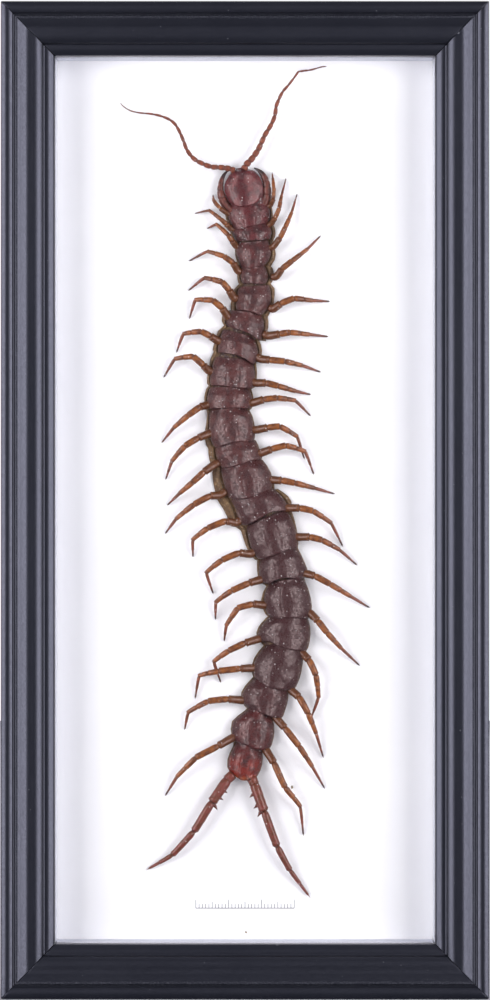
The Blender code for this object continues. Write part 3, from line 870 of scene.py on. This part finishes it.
def feeler_colour(tree):
    base = stages(
        tree, mark(tree, "along"), (0.23, 0.055, 0.022), (0.45, 0.8, (0.22, 0.065, 0.04)),
        (0.8, 1.0, (0.24, 0.13, 0.11)),
    )
    return mix(tree, math(tree, "MULTIPLY", mark(tree, "joint"), 0.75), base, (0.05, 0.014, 0.01, 1))


def claw_colour(tree):
    return stages(tree, mark(tree, "along"), (0.14, 0.034, 0.022), (0.72, 0.84, (0.008, 0.006, 0.007)))


PLATE_FINISH = cuticle("back plates", plate_colour, (0.04, 0.012, 0.012), (2.4, 0.34), 0.25, 0.45, 0.1)
SIDE_FINISH = cuticle("side skin", side_colour, (0.11, 0.06, 0.025), (1.2, 0.35), 0.5, 0.6, 0.12)
LEG_FINISH = cuticle("leg skin", leg_colour, (0.1, 0.028, 0.008), (1.5, 0.22), 0.22, 0.3, 0.05)
FEELER_FINISH = cuticle("feeler skin", feeler_colour, (0.11, 0.028, 0.014), (0.8, 0.2), 0.4, 0.4, 0.06)
CLAW_FINISH = cuticle("claw skin", claw_colour, (0.06, 0.016, 0.012), (1.2, 0.25), 0.3, 0.1, 0.02)

# %% [markdown]
# Back plates
#
# The back is a row of 21 plates of thin horn, long and short by turns, and each one's rear
# edge lies over the front of the next. A plate is arched across, so its two soft lights
# show as two lengthwise bands. Each outline is read from the picture: left edge and right
# edge from front to rear, then the rear edge from left to right. A grid is stretched between
# them, raised into an arch, and closed below by a second grid a little lower.

# %% Outlines of the plates
PLATES = [
    ([(229, 207), (228, 212), (229, 220), (232, 226)], [(268, 202), (270, 210), (270, 218), (268, 223)],
     [(232, 227.5), (240, 229.5), (248, 227), (258, 225), (267, 223.8)]),
    ([(232, 231), (234, 238), (236.5, 241)], [(270, 226), (271.5, 233), (270.5, 238)],
     [(237, 241.5), (245, 241), (255, 240.5), (264, 240), (269.5, 239)]),
    ([(236, 246), (236.5, 255), (239, 262), (240.5, 266)], [(269, 243), (271, 252), (269, 260), (264.5, 266)],
     [(241, 267), (250, 268.5), (256, 266.5), (264, 267)]),
    ([(240, 270), (240.5, 276), (242, 283)], [(266, 269), (268, 278), (266.5, 282.5)],
     [(243, 284), (250, 283.5), (258, 284), (265.5, 284)]),
    ([(238, 290), (237, 298), (236, 305), (236.5, 310)], [(270, 288), (271, 300), (268, 308), (264, 313)],
     [(237, 311), (243, 310.5), (252, 312), (258, 314.5), (263, 314.5)]),
    ([(229, 313), (226, 322), (227.5, 326.5)], [(262, 316), (264, 325), (262, 336)],
     [(228, 327), (236, 329), (243, 331), (250, 334), (257, 339), (261.5, 340)]),
    ([(222, 332), (219, 342), (218, 352)], [(255, 340), (258, 352), (257, 359)],
     [(219, 353), (230, 354), (238, 355.5), (243, 358), (247, 360), (253, 364), (256, 362)]),
    ([(214, 360), (211, 372), (210.5, 384)], [(253, 362), (255, 375), (254, 385)],
     [(212, 386), (222, 386), (230, 387), (240, 388), (250, 388.5), (253, 387.5)]),
    ([(209, 390), (207, 400), (208, 408)], [(250, 390), (252, 400), (251, 407)],
     [(209, 409), (218, 408.5), (228, 408), (238, 408), (250, 409)]),
    ([(210, 412), (209, 425), (210, 437), (213, 445)], [(248, 410), (252, 418), (254, 430), (254, 438)],
     [(215, 447.5), (222, 446.5), (230, 444), (240, 441.5), (248, 442), (253.5, 440)]),
    ([(215, 449), (217, 458), (220.5, 466)], [(256, 442), (259, 450), (261.5, 457)],
     [(222, 468), (230, 467.5), (240, 464.5), (250, 461), (261, 459.5)]),
    ([(221, 470), (223, 480), (226, 490), (228.5, 497)], [(262, 460), (268, 468), (272, 478), (272, 486)],
     [(229, 498), (238, 499.5), (247, 498.5), (255, 495.5), (262, 493), (271, 490.5)]),
    ([(231, 500), (235, 508), (238, 518), (242.5, 525)], [(275, 490), (283, 498), (287, 505), (288, 509.5)],
     [(244, 525.5), (250, 524), (256, 521), (264, 516), (272, 512), (287.5, 511)]),
    ([(247, 528), (249, 540), (252, 550), (256.5, 557)], [(288, 512), (293, 522), (297, 535), (297.5, 545)],
     [(258, 559), (266, 558.5), (272, 556.5), (280, 553), (288, 550), (297, 548.5)]),
    ([(260, 560), (259, 570), (260, 580), (261.5, 582)], [(298, 550), (303, 560), (307, 571), (305, 577)],
     [(262.5, 583), (270, 583.5), (274, 581), (285, 578), (295, 579), (303.5, 578.5)]),
    ([(268, 585), (265, 593), (264, 603), (266, 611), (269, 616)],
     [(304, 580), (308, 590), (311, 602), (311, 612), (308.5, 617.5)],
     [(270, 617), (276, 619), (284, 618), (294, 618), (307, 619)]),
    ([(268, 618), (261, 626), (258, 634), (259.5, 640)], [(308, 620), (310, 630), (309, 642), (307, 649)],
     [(261, 641), (270, 642), (276, 645), (284, 648), (292, 650), (300, 651), (306, 650.3)]),
    ([(266, 645), (260, 652), (255, 660), (253, 668), (254, 676)],
     [(303, 654), (302, 665), (300, 675), (297, 684), (294, 688.5)],
     [(255, 677.5), (262, 683), (268, 687), (276, 689), (284, 690), (292.5, 689.5)]),
    ([(252, 680), (246, 687), (242, 695), (243, 702), (247.5, 708)],
     [(288, 692), (287, 702), (284, 712), (282, 717)],
     [(248.5, 709), (256, 711), (264, 714), (272, 717), (281, 718)]),
    ([(247, 710), (239, 716), (233, 722), (232, 732), (234, 740)],
     [(272, 718), (274, 728), (273, 738), (270.5, 746.5)],
     [(235, 741), (242, 744), (248, 746), (256, 749), (262, 750), (269.5, 747.5)]),
    ([(235, 745), (230, 755), (228, 763), (229, 770), (233, 774.5)],
     [(262, 752), (262, 762), (260, 770), (256, 777)],
     [(235, 776), (241, 780), (246, 780.5), (251, 780), (255, 778)]),
]
BODY_TOP = (
    [165, 230, 290, 340, 400, 520, 620, 700, 745, 780],
    [5.3, 5.4, 5.2, 5.5, 5.9, 6.1, 6.3, 6.1, 5.6, 4.7],
)
EDGE_HEIGHT = 2.3
SHELL_THICK = 0.28

# %% Stretch a grid between the outlines
ACROSS = np.sin(np.linspace(-1, 1, 81) * 1.45) / sin(1.45)
ALONG = np.concatenate([np.linspace(0, 0.98, 36), [0.99, 0.996, 1.0]])


def stretch(left, right, rear, tuck):
    """Picture points of a plate's grid, and the share of its length that is tucked in."""
    left, right, rear = (np.asarray(v, float) for v in (left, right, rear))
    ahead = left[0] + right[0] - left[-1] - right[-1]
    length = np.linalg.norm(ahead) / 2
    ahead /= 2 * length
    inward = (right[0] - left[0]) * 0.04
    left = np.vstack([left[0] + ahead * tuck + inward, left, rear[0]])
    right = np.vstack([right[0] + ahead * tuck - inward, right, rear[-1]])
    share = (ACROSS + 1)[:, None] / 2
    start, end = evenly(through(left, 200), ALONG)[:, None], evenly(through(right, 200), ALONG)[:, None]
    grid = start * (1 - share) + end * share
    rim = evenly(through(rear, 200), share[:, 0])
    grid += (rim - grid[-1]) * (ALONG**3)[:, None, None]
    return grid, tuck / (tuck + length)


def close_shell(grid, height, thick, shrink=0.985):
    """Rings of a plate: its upper grid and a lower one, a little smaller, walked back."""
    middle = grid.mean(axis=1, keepdims=True)
    lower = spot(middle + (grid - middle) * shrink, height - thick)
    return np.concatenate([spot(grid, height), lower[:, ::-1]], axis=1)


def both_sides(values):
    """A value for each point of the upper grid, repeated for the lower one."""
    return np.concatenate([values, values[:, ::-1]], axis=1)


# %% Arch, seam and dent each plate
def add_plate(number, left, right, rear):
    grid, tucked = stretch(left, right, rear, 7.0 if number == 1 else 3.0)
    u, s = ALONG[:, None], ACROSS[None, :]
    top = np.interp(grid[:, 40, 1], *BODY_TOP)[:, None]
    height = top - (top - EDGE_HEIGHT) * (0.925 * s**2 + 0.075 * s**12)
    height = height - 0.6 * (1 - step(u, 0.3 * tucked, 3.2 * tucked)) + 0.12 * np.sin(pi * u)
    height -= 0.07 * np.exp(-(((np.abs(s) - 0.27) / 0.02) ** 2)) * step(u, 2 * tucked, 3 * tucked)
    height += (0.09 if number >= 8 else 0.04) * np.exp(-(((np.abs(s) - 0.945) / 0.03) ** 2))
    height += 0.05 * np.exp(-(((u - 0.96) / 0.03) ** 2)) - 0.14 * step(u, 0.985, 1.0)
    places = spot(grid, height)
    height = height + 0.2 * dents(places, 2.5, number) + 0.06 * dents(places, 0.8, number + 40)
    marks = {
        "crosswise": [both_sides(np.broadcast_to(s, height.shape))],
        "lengthwise": [both_sides(np.broadcast_to(u, height.shape))],
        "number": [both_sides(np.full(height.shape, float(number)))],
    }
    rings = close_shell(grid, height, SHELL_THICK)
    place(skin(f"back_plate_{number:02d}", [rings], PLATE_FINISH, marks), "back_plates", "trunk")
    return grid


plate_grids = [add_plate(number, *outline) for number, outline in enumerate(PLATES, start=1)]
print("back plates:", len(plate_grids))

# %% [markdown]
# Soft sides
#
# Beside the plates shows the animal's soft side skin, olive brown and wrinkled, more of it
# where the body bends. It is one long body under all the plates: below a plate it keeps
# clear of the horn, and beyond the plate's edge it swells out a little and rounds down to the
# card. How far it shows is read from the picture on each side, in pixels at heights down it.

# %% The body under the plates
SHOWS_LEFT = (
    [215, 250, 270, 300, 312, 325, 340, 352, 365, 380, 420, 440, 470, 500, 515, 530, 560, 580, 600, 620, 780],
    [3, 1, 3, 5, 6, 4, 4, 5.5, 3, 3.5, 2.5, 6, 9, 12, 10, 6, 3, 1, 3, 2, 1],
)
SHOWS_RIGHT = (
    [205, 230, 250, 270, 285, 300, 315, 330, 345, 358, 375, 430, 470, 480, 500, 515, 530, 560, 780],
    [2, 4, 4.5, 7, 5, 3, 6, 4, 5, 3.5, 2, 1, 0.5, 1, 6, 3, 1, 0.6, 0.6],
)
BODY_POINTS = 61


def body_ring(row):
    """Picture points and heights of one ring from a plate's row of points."""
    left, right = row[0], row[-1]
    middle, half = (left + right) / 2, np.linalg.norm(right - left) / 2
    sideways = (right - left) / (2 * half)
    out_left = half + np.interp(left[1], *SHOWS_LEFT)
    out_right = half + np.interp(right[1], *SHOWS_RIGHT)
    place_across = np.linspace(-1, 1, BODY_POINTS)
    place_across = np.where(place_across < 0, place_across * out_left, place_across * out_right)
    top = np.interp(middle[1], *BODY_TOP)
    s = np.clip(np.abs(place_across) / half, 0, 1)
    under = top - (top - EDGE_HEIGHT) * (0.925 * s**2 + 0.075 * s**12) - 1.3 - 0.6 * (1 - s**2)
    reach = np.where(place_across < 0, out_left, out_right) - half
    beyond = np.clip((np.abs(place_across) - half) / np.maximum(reach, 0.1), 0, 1)
    height = under + 0.75 * np.sin(pi * np.minimum(beyond * 1.2, 1)) - 0.4 * beyond**2
    points = middle + sideways * place_across[:, None]
    return points, height, s


def add_body():
    rows = [body_ring(grid[row]) for grid in plate_grids for row in (4, 11, 18, 25, 32, 36)]
    upper, heights, outward = (np.array(values) for values in zip(*rows))
    places = spot(upper, heights)
    heights = heights + 0.16 * dents(places, 0.9, 3) + 0.1 * dents(places, 0.45, 5)
    rings = np.concatenate([spot(upper, heights), spot(upper[:, ::-1], 0.25)], axis=1)
    marks = {"outward": [both_sides(outward)]}
    place(skin("side_skin", [rings], SIDE_FINISH, marks), "back_plates", "trunk")
    print("rings in the body:", len(rings))


add_body()

# %% [markdown]
# Head
#
# The head shield is a rounded plate, more like a low roof than an arch, with a soft ridge a
# little left of its middle. Its rear edge lies over the first back plate. Four small black
# eyes sit at each front corner.

# %% Head shield and eyes
HEAD_LEFT = [
    (236, 169.5), (232, 172), (229, 176), (226, 181), (224.5, 186), (224.5, 190), (226, 195), (228, 200),
    (231, 204),
]
HEAD_RIGHT = [
    (248, 168.8), (254, 171), (258, 175), (261, 180), (263, 187), (263.5, 193), (262.5, 198), (260.5, 200.5),
]
HEAD_REAR = [(232.5, 205), (236, 206), (242, 206.5), (248, 205.5), (254, 204), (259.5, 201.5)]
EYES = [
    (231, 178), (229, 181), (229.5, 184.5), (232, 181.5),
    (256.5, 176.5), (259, 179.5), (259.5, 183), (256.5, 180),
]


def head_colour(tree):
    # painted sheen and shade: the head's sides are a lighter red and its middle darker, as the soft boxes light
    # it
    painted_sheen = ramp(tree, math(tree, "ABSOLUTE", mark(tree, "crosswise")), 0.0, 0.5)
    return mix(tree, painted_sheen, (0.07, 0.008, 0.01, 1), (0.125, 0.018, 0.02, 1))


def eye_colour(tree):
    grey = add(tree, "ShaderNodeTexNoise", {"Vector": millimetres(tree), "Scale": 6.0}).outputs[0]
    return mix(tree, grey, (0.008, 0.007, 0.008, 1), (0.02, 0.016, 0.016, 1))


def add_head():
    finish = cuticle("head skin", head_colour, (0.055, 0.014, 0.016), (2.0, 0.25), 0.24, 0.3, 0.05)
    grid, _ = stretch(HEAD_LEFT, HEAD_RIGHT, HEAD_REAR, 1.2)
    u, s = ALONG[:, None], ACROSS[None, :] + 0.12 * (1 - ACROSS[None, :] ** 2)
    height = 5.15 + 0.75 * u - (2.1 + 0.5 * u) * (0.55 * np.sqrt(s**2 + 0.02) + 0.45 * s**4)
    height -= 1.5 * (1 - step(u, -0.05, 0.3)) ** 1.5 + 0.16 * step(u, 0.985, 1.0)
    height += 0.1 * dents(spot(grid, height), 2.2, 90) + 0.03 * dents(spot(grid, height), 0.6, 91)
    marks = {"crosswise": [both_sides(np.broadcast_to(s, height.shape))]}
    rings = close_shell(grid, height, 0.3 + 1.2 * step(1 - np.abs(s), 0.02, 0.4) * step(1 - u, 0.05, 0.3), 0.97)
    place(skin("head_shield", [rings], finish, marks), "head_shield", "head")
    shells = []
    for eye in EYES:
        near = np.unravel_index(np.argmin(np.linalg.norm(grid - np.array(eye), axis=-1)), grid.shape[:2])
        path = spot([eye] * 7, height[near] + np.array([-0.3, -0.1, 0.0, 0.08, 0.14, 0.18, 0.2]))
        angle = np.linspace(0, 2 * pi, 14, endpoint=False)
        around = np.stack([np.cos(angle), 0 * angle, np.sin(angle)], axis=-1)
        radius = 0.15 * MM * np.array([1.0, 1.0, 0.98, 0.85, 0.6, 0.35, 0.08])
        shells.append(path[:, None] + around[None] * radius[:, None, None])
    eye_finish = cuticle("eyes", eye_colour, (0.01, 0.008, 0.009), (1.0, 0.2), 0.2, 0.0, 0.01)
    place(skin("eyes", shells, eye_finish), "head_shield", "head")


add_head()

# %% [markdown]
# Poison claws
#
# The poison claws grow from under the first plate, bow out round the head and end in black
# curved points that nearly meet in front of it. A claw is one bent tube whose rings shrink
# to the point, with a crease at each of its short joints.

# %% The two claws
CLAWS = {
    "left": (
        [(238, 214), (228, 208), (222.5, 199), (220.5, 190), (221, 183), (222.5, 178), (225.5, 173), (230, 170)],
        [3.6, 4.0, 4.3, 4.1, 3.3, 2.6, 1.7, 0.4],
    ),
    "right": (
        [(254, 212), (262, 206), (266.5, 198), (267, 190), (266, 182), (263, 175), (258.5, 170.5), (254, 168)],
        [4.2, 4.6, 4.6, 4.4, 4.0, 3.2, 2.2, 0.5],
    ),
}


def add_claw(side, points, radii):
    count = 120
    t = np.linspace(0, 1, count)
    line = through(points, count)
    radius = np.interp(t, np.linspace(0, 1, len(radii)), radii) * ON_CARD
    for crease in (0.42, 0.56, 0.66):
        radius *= 1 - 0.13 * np.exp(-(((t - crease) / 0.012) ** 2))
    rings = tube(spot(line, 1.75 + 0.35 * np.sin(pi * t)), radius, np.minimum(radius * 1.15, 1.5), 24)
    middle = rings.mean(axis=1, keepdims=True)
    rings = middle + (rings - middle) * (1 + 0.05 * dents(rings, 0.9, 7)[..., None])
    marks = {"along": [np.repeat(t[:, None], 24, axis=1)]}
    obj = skin(f"poison_claw_{side}", [rings], CLAW_FINISH, marks)
    place(obj, "claw_cuticle", f"forcipule_{side}")


for side, (points, radii) in CLAWS.items():
    add_claw(side, points, radii)

# %% [markdown]
# Feelers
#
# A feeler is a string of short beads, thick at the head and thread-fine at the tip. One tube
# does it, with a waist wherever two beads meet.

# %% The two feelers
BEADS = 18
FEELERS = {
    "left": (
        [(235, 171), (230, 169), (220, 167.5), (213, 167.2), (208, 166), (202, 163.5), (197, 161),
         (192.5, 157.5), (188.5, 152.5), (186, 148), (183.5, 141), (180.5, 134), (177.5, 128), (174.5, 123.8),
         (169.5, 119.8), (161, 116.2), (151, 114), (140, 113), (130.5, 110.8), (123.5, 106.5), (120.3, 103)],
        [6, 5.6, 5.2, 5, 4.8, 4.6, 4.3, 4, 3.8, 3.6, 3.4, 3.2, 3, 2.7, 2.4, 2.1, 1.8, 1.5, 1.4, 1.2, 0.8],
    ),
    "right": (
        [(243.5, 170), (247, 164), (250.5, 160.5), (254, 156), (257.5, 151), (260, 146), (265, 135),
         (268.5, 129.5), (272, 123), (274.5, 117), (275.5, 112), (276, 107), (278, 101.5), (283, 91.5),
         (287, 87), (291, 82), (295.5, 76), (298.7, 71.8), (302, 71.2), (311, 70), (322, 67), (326.5, 66.5)],
        [6.6, 6.5, 6, 5.7, 5.5, 5.2, 4.9, 4.6, 4.5, 4.3, 4.1, 3.9, 3.5, 3.1, 2.7, 2.5, 2.2, 2.1, 2, 1.7, 1.4, 1],
    ),
}


def add_feeler(side, points, widths):
    count = 361
    t = np.linspace(0, 1, count)
    line = through(points, count)
    wide = np.interp(t, np.linspace(0, 1, len(widths)), widths) / 2 * ON_CARD
    waist = np.abs(np.cos(pi * BEADS * t**0.85)) ** 10
    wide = wide * (1.04 - 0.3 * waist)
    wide[0] *= 0.5
    wide[-1] *= 0.2
    rings = tube(spot(line, 3.6 - 2.0 * t), wide, wide, 16)
    marks = {"along": [np.repeat(t[:, None], 16, axis=1)], "joint": [np.repeat(waist[:, None], 16, axis=1)]}
    obj = skin(f"feeler_{side}", [rings], FEELER_FINISH, marks)
    place(obj, "feeler_cuticle", f"antenna_{side}")


for side, (points, widths) in FEELERS.items():
    add_feeler(side, points, widths)

# %% [markdown]
# Legs
#
# Each leg has a stout dark root and then four slimmer joints, a two-part foot and a claw. It
# rises from under the plate to a knee and comes down to rest its tip on the card. The points
# down each leg are the body's side, the knee and foot joints and the tip, and a joint is
# given by where it starts and ends between them, so 2.5 is half way from point 2 to point 3.
# Each joint is a closed tube with a narrow neck and a flared rim.

# %% Where the legs lie
LEFT_LEGS = [
    [(228, 214), (222, 210), (216, 204), (213.5, 200), (213, 195)],
    [(231, 229), (226, 224), (221, 219.5), (209, 210.5), (194.5, 213.7)],
    [(236, 246), (232, 241), (228.5, 235.5), (216.5, 224.5), (207, 228.8)],
    [(238, 271), (233, 263), (224, 256.5), (207.5, 251.5), (188.5, 261.5)],
    [(234, 298), (229, 290), (222, 282), (204.5, 278), (188, 291)],
    [(228, 317), (222, 308), (213, 300.5), (195.5, 300), (189.3, 319.3)],
    [(218, 341), (210, 336), (201, 331.5), (183.5, 334), (176.3, 353)],
    [(209, 371), (203, 365), (193, 356.5), (175, 359), (163.5, 378)],
    [(207, 405), (200, 407), (188, 415.5), (174, 427.5), (161.5, 443)],
    [(208, 434), (198, 438), (185, 446), (172, 461), (165.5, 480)],
    [(214, 465), (204, 472), (193, 482), (180, 493), (167, 505.5)],
    [(220, 495), (210, 496), (194, 504.5), (176.5, 518.5), (165, 534)],
    [(236, 523), (226, 521), (208, 528), (193, 539.5), (193, 557.5)],
    [(251, 554), (239, 553), (222, 560), (206.5, 572.5), (213.5, 594.5)],
    [(261, 579.5), (249, 583), (232, 590.5), (216, 602), (215.5, 620)],
    [(264, 605), (253, 604), (238, 608), (226.5, 625), (224, 641.5)],
    [(258, 639), (245, 643), (229, 650.5), (214, 661.5), (221, 683)],
    [(253, 668), (240, 668.5), (219, 671), (199.5, 675.5), (195, 699)],
    [(242, 700), (228, 699), (208.5, 701), (188.5, 712), (184.5, 730)],
    [(232, 738), (218, 746), (196, 757.5), (177.5, 776), (165, 796)],
    [(228, 779), (212, 802), (194, 831), (172, 855), (146, 870)],
]
RIGHT_LEGS = [
    [(270, 206), (273, 200), (274, 190), (273, 180), (272, 172.5)],
    [(271, 224), (275, 218), (279, 209), (281.5, 196), (286.2, 177.8)],
    [(273, 247), (280, 238), (285, 228), (291.5, 213), (297.3, 193.5)],
    [(276, 277), (282, 269), (292, 261), (307, 249.5), (321, 235.5)],
    [(273, 309), (281, 303.5), (294, 298.5), (312, 300.5), (330, 301.5)],
    [(268, 336), (280, 334), (290, 332.5), (309, 334.5), (328.5, 336.7)],
    [(261, 359), (270, 360), (285, 361.5), (302, 365.5), (321, 372.3)],
    [(256, 383), (266, 383), (278, 386), (295, 391), (311, 394.7)],
    [(252, 403), (264, 399.5), (277, 398), (295, 400.5), (311, 416.5)],
    [(256, 430), (268, 427.5), (280, 426.5), (297, 436.5), (304.5, 459.5)],
    [(261, 453), (272, 449), (286, 445.5), (305, 451.5), (314, 475)],
    [(272, 480), (282, 480.5), (295, 483), (314, 488), (335, 494)],
    [(288, 508), (300, 508), (313, 511), (331, 523), (343, 547)],
    [(299, 537), (310, 537), (322, 540), (339, 549.5), (357.5, 565.5)],
    [(304, 573), (315, 576), (330, 584), (350, 596), (370, 608)],
    [(310, 613), (318, 621), (327, 632.5), (341, 648), (360, 666)],
    [(303, 654), (309, 660), (316, 675), (318.5, 697), (310, 721)],
    [(291, 690), (299, 697), (308, 713), (316, 733), (323.5, 758)],
    [(277, 719), (285, 728), (299, 746), (312, 766), (325, 789)],
    [(266, 750), (274, 763), (285, 787), (300, 806), (303.5, 836)],
    [(254, 783.5), (264, 811), (277, 846), (290, 870), (310.5, 898)],
]

# %% Build one leg from its joints
LEG_HEIGHTS = (1.9, 2.2, 3.7, 4.2, 2.4, 0.4)
LEG_SIDES = 14
LEG_RINGS = 16
WALKING_JOINTS = [
    (-0.6, 1.0, 4.2, 3.7), (0.93, 2.0, 3.35, 3.05), (1.96, 2.52, 2.95, 2.7), (2.48, 3.03, 2.5, 2.1),
    (2.98, 3.6, 1.75, 1.3), (3.56, 3.94, 1.15, 0.8), (3.91, 4.0, 0.55, 0.08),
]
TRAILING_JOINTS = [
    (-0.7, 0.05, 5.0, 4.8), (-0.05, 1.0, 5.1, 4.7), (0.96, 2.0, 4.1, 3.7), (1.97, 3.0, 3.4, 2.9),
    (2.97, 3.5, 2.4, 1.9), (3.47, 3.88, 1.7, 1.1), (3.85, 4.0, 0.7, 0.08),
]
SMALL_FRONT_LEGS = {1: 0.6, 2: 0.72, 3: 0.8, 4: 0.9}
SPINE_SHARES = (0.0, 0.35, 0.6, 0.85, 1.0)
SPINE_RADII = (0.75, 0.7, 0.5, 0.22, 0.03)
SPINES = {
    "left": [((220, 788), (227.5, 793)), ((215, 795), (223.5, 800)), ((212, 801), (217.5, 810))],
    "right": [((257, 791), (249.5, 797.5)), ((261, 802), (253.5, 808.5)), ((263, 808), (257.5, 817))],
}


def joint_tube(line, shares, first, last, start, end, size, seed):
    """One leg joint: rings from a narrow neck to a flared rim, with its marks."""
    t = np.linspace(0, 1, LEG_RINGS)
    index = first + (last - first) * t
    path = evenly(line, np.interp(index, [-1, 0, 1, 2, 3, 4], shares))
    radius = (start + (end - start) * t) * size * ON_CARD
    rim = 0.1 * np.exp(-(((t - 0.93) / 0.05) ** 2))
    shape = 0.8 + 0.2 * step(t, 0.02, 0.2) + 0.04 * np.sin(pi * t) + rim
    shape[0] *= 0.55
    shape[-1] *= 0.62
    rings = tube(path, radius * shape, radius * shape * 0.96, LEG_SIDES)
    middle = rings.mean(axis=1, keepdims=True)
    wrinkle = 0.045 * dents(rings, 0.8, seed) + 0.03 * dents(rings, 0.3, seed + 1)
    rings = middle + (rings - middle) * (1 + wrinkle[..., None])
    near = np.exp(-((t / 0.06) ** 2)) + np.exp(-(((1 - t) / 0.05) ** 2))
    return rings, np.repeat(index[:, None], LEG_SIDES, 1), np.repeat(near[:, None], LEG_SIDES, 1)


def add_leg(side, number, points):
    points = np.array(points, float)
    body = plate_grids[number - 1][18].mean(axis=0)
    inside = points[0] + (body - points[0]) * 0.45
    points = np.vstack([inside, points])
    steps = np.concatenate([[0], np.cumsum(np.linalg.norm(np.diff(points, axis=0), axis=1))])
    trailing = number == len(LEFT_LEGS)
    heights = (2.6, 2.8, 3.4, 3.2, 2.0, 0.4) if trailing else LEG_HEIGHTS
    flat = 0.75 * evenly(points, np.linspace(0, 1, 240)) + 0.25 * through(points, 240)
    height = through(np.stack([steps, heights], axis=-1), 240)
    line = spot(flat, np.interp(np.linspace(0, steps[-1], 240), height[:, 0], height[:, 1]))
    joints = TRAILING_JOINTS if trailing else WALKING_JOINTS
    size = SMALL_FRONT_LEGS.get(number, 1.0)
    made = []
    for place_in_row, (first, last, start, end) in enumerate(joints):
        seed = number * 10 + place_in_row + (500 if side == "left" else 0)
        made.append(joint_tube(line, steps / steps[-1], first, last, start, end, size, seed))
    shells, along, joint = (list(v) for v in zip(*made))
    if trailing:
        for spine in SPINES[side]:
            path = evenly(spot(spine, 3.0), SPINE_SHARES)
            shells.append(tube(path, SPINE_RADII, SPINE_RADII, 8))
            along.append(np.full((len(path), 8), 1.0))
            joint.append(np.full((len(path), 8), 0.5))
    marks = {
        "along": along,
        "joint": joint,
        "trailing": [np.full(np.shape(values), float(trailing)) for values in along],
    }
    obj = skin(f"jointed_leg_{side}_{number:02d}", shells, LEG_FINISH, marks)
    place(obj, "leg_cuticle", f"leg_{side}_{number:02d}")


for side, legs in (("left", LEFT_LEGS), ("right", RIGHT_LEGS)):
    for number, points in enumerate(legs, start=1):
        add_leg(side, number, points)
print("legs:", len(LEFT_LEGS) + len(RIGHT_LEGS))

# %% [markdown]
# Light
#
# Two large soft boxes stand to the left and right. Each shows as a pale band on every slope
# that faces it, on the moulding and on the animal's arched back. The card is exposed to pure
# white, as in the picture. A low bluish sky fills the shadows, and a weak lamp behind serves
# the views from there.

# %% Soft boxes, sky and floor
def soft_box(name, azimuth, climb, distance, size, radiance, tint=(1.0, 0.98, 1.0)):
    """A soft lamp aimed at the middle of the frame, hidden from the camera."""
    lamp = bpy.data.lights.new(name, "AREA")
    lamp.shape = "RECTANGLE"
    lamp.size, lamp.size_y = size
    lamp.energy = pi * size[0] * size[1] * radiance
    lamp.color = tint
    obj = bpy.data.objects.new(name, lamp)
    bpy.context.scene.collection.objects.link(obj)
    a, c = radians(azimuth), radians(climb)
    away = Vector((sin(a) * cos(c), -cos(a) * cos(c), sin(c)))
    obj.location = Vector((0, 0, MIDDLE_HEIGHT)) + away * distance
    obj.rotation_euler = away.to_track_quat("Z", "Y").to_euler()
    obj.visible_camera = False


def sky():
    world = bpy.data.worlds.new("studio")
    bpy.context.scene.world = world
    world.use_nodes = True
    tree = world.node_tree
    background = tree.nodes["Background"]
    seen = add(tree, "ShaderNodeLightPath").outputs["Is Camera Ray"]
    tree.links.new(mix(tree, seen, (0.145, 0.15, 0.19, 1), (0.93, 0.935, 0.95, 1)), background.inputs["Color"])


def floor():
    mesh = bpy.data.meshes.new("floor")
    mesh.from_pydata([(-1.5, -1.5, 0), (1.5, -1.5, 0), (1.5, 1.5, 0), (-1.5, 1.5, 0)], [], [(0, 1, 2, 3)])
    tree, shader, made = new_finish("pale floor", 0.8)
    cloud = add(tree, "ShaderNodeTexNoise", {"Vector": millimetres(tree), "Scale": 0.01}).outputs[0]
    tree.links.new(mix(tree, cloud, (0.72, 0.72, 0.74, 1), (0.76, 0.76, 0.78, 1)), shader.inputs["Base Color"])
    mesh.materials.append(made)
    obj = bpy.data.objects.new("floor", mesh)
    bpy.context.scene.collection.objects.link(obj)
    obj.location.z = -0.2 * MM
    obj.visible_glossy = False
    obj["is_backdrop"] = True


soft_box("soft box left", -48, 0, 1.0, (0.7, 0.9), 7.4)
soft_box("soft box right", 48, 0, 1.0, (0.7, 0.9), 7.4)
soft_box("top lamp", 0, 68, 1.2, (0.6, 0.4), 0.5)
soft_box("back lamp", 165, 25, 1.4, (1.0, 1.0), 1.6)
sky()
floor()
bpy.context.scene.view_settings.view_transform = "Standard"

# %% Measure and finish
low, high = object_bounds()
print("finished box in mm:", [round(v * 1000, 1) for v in (*low, *high)])
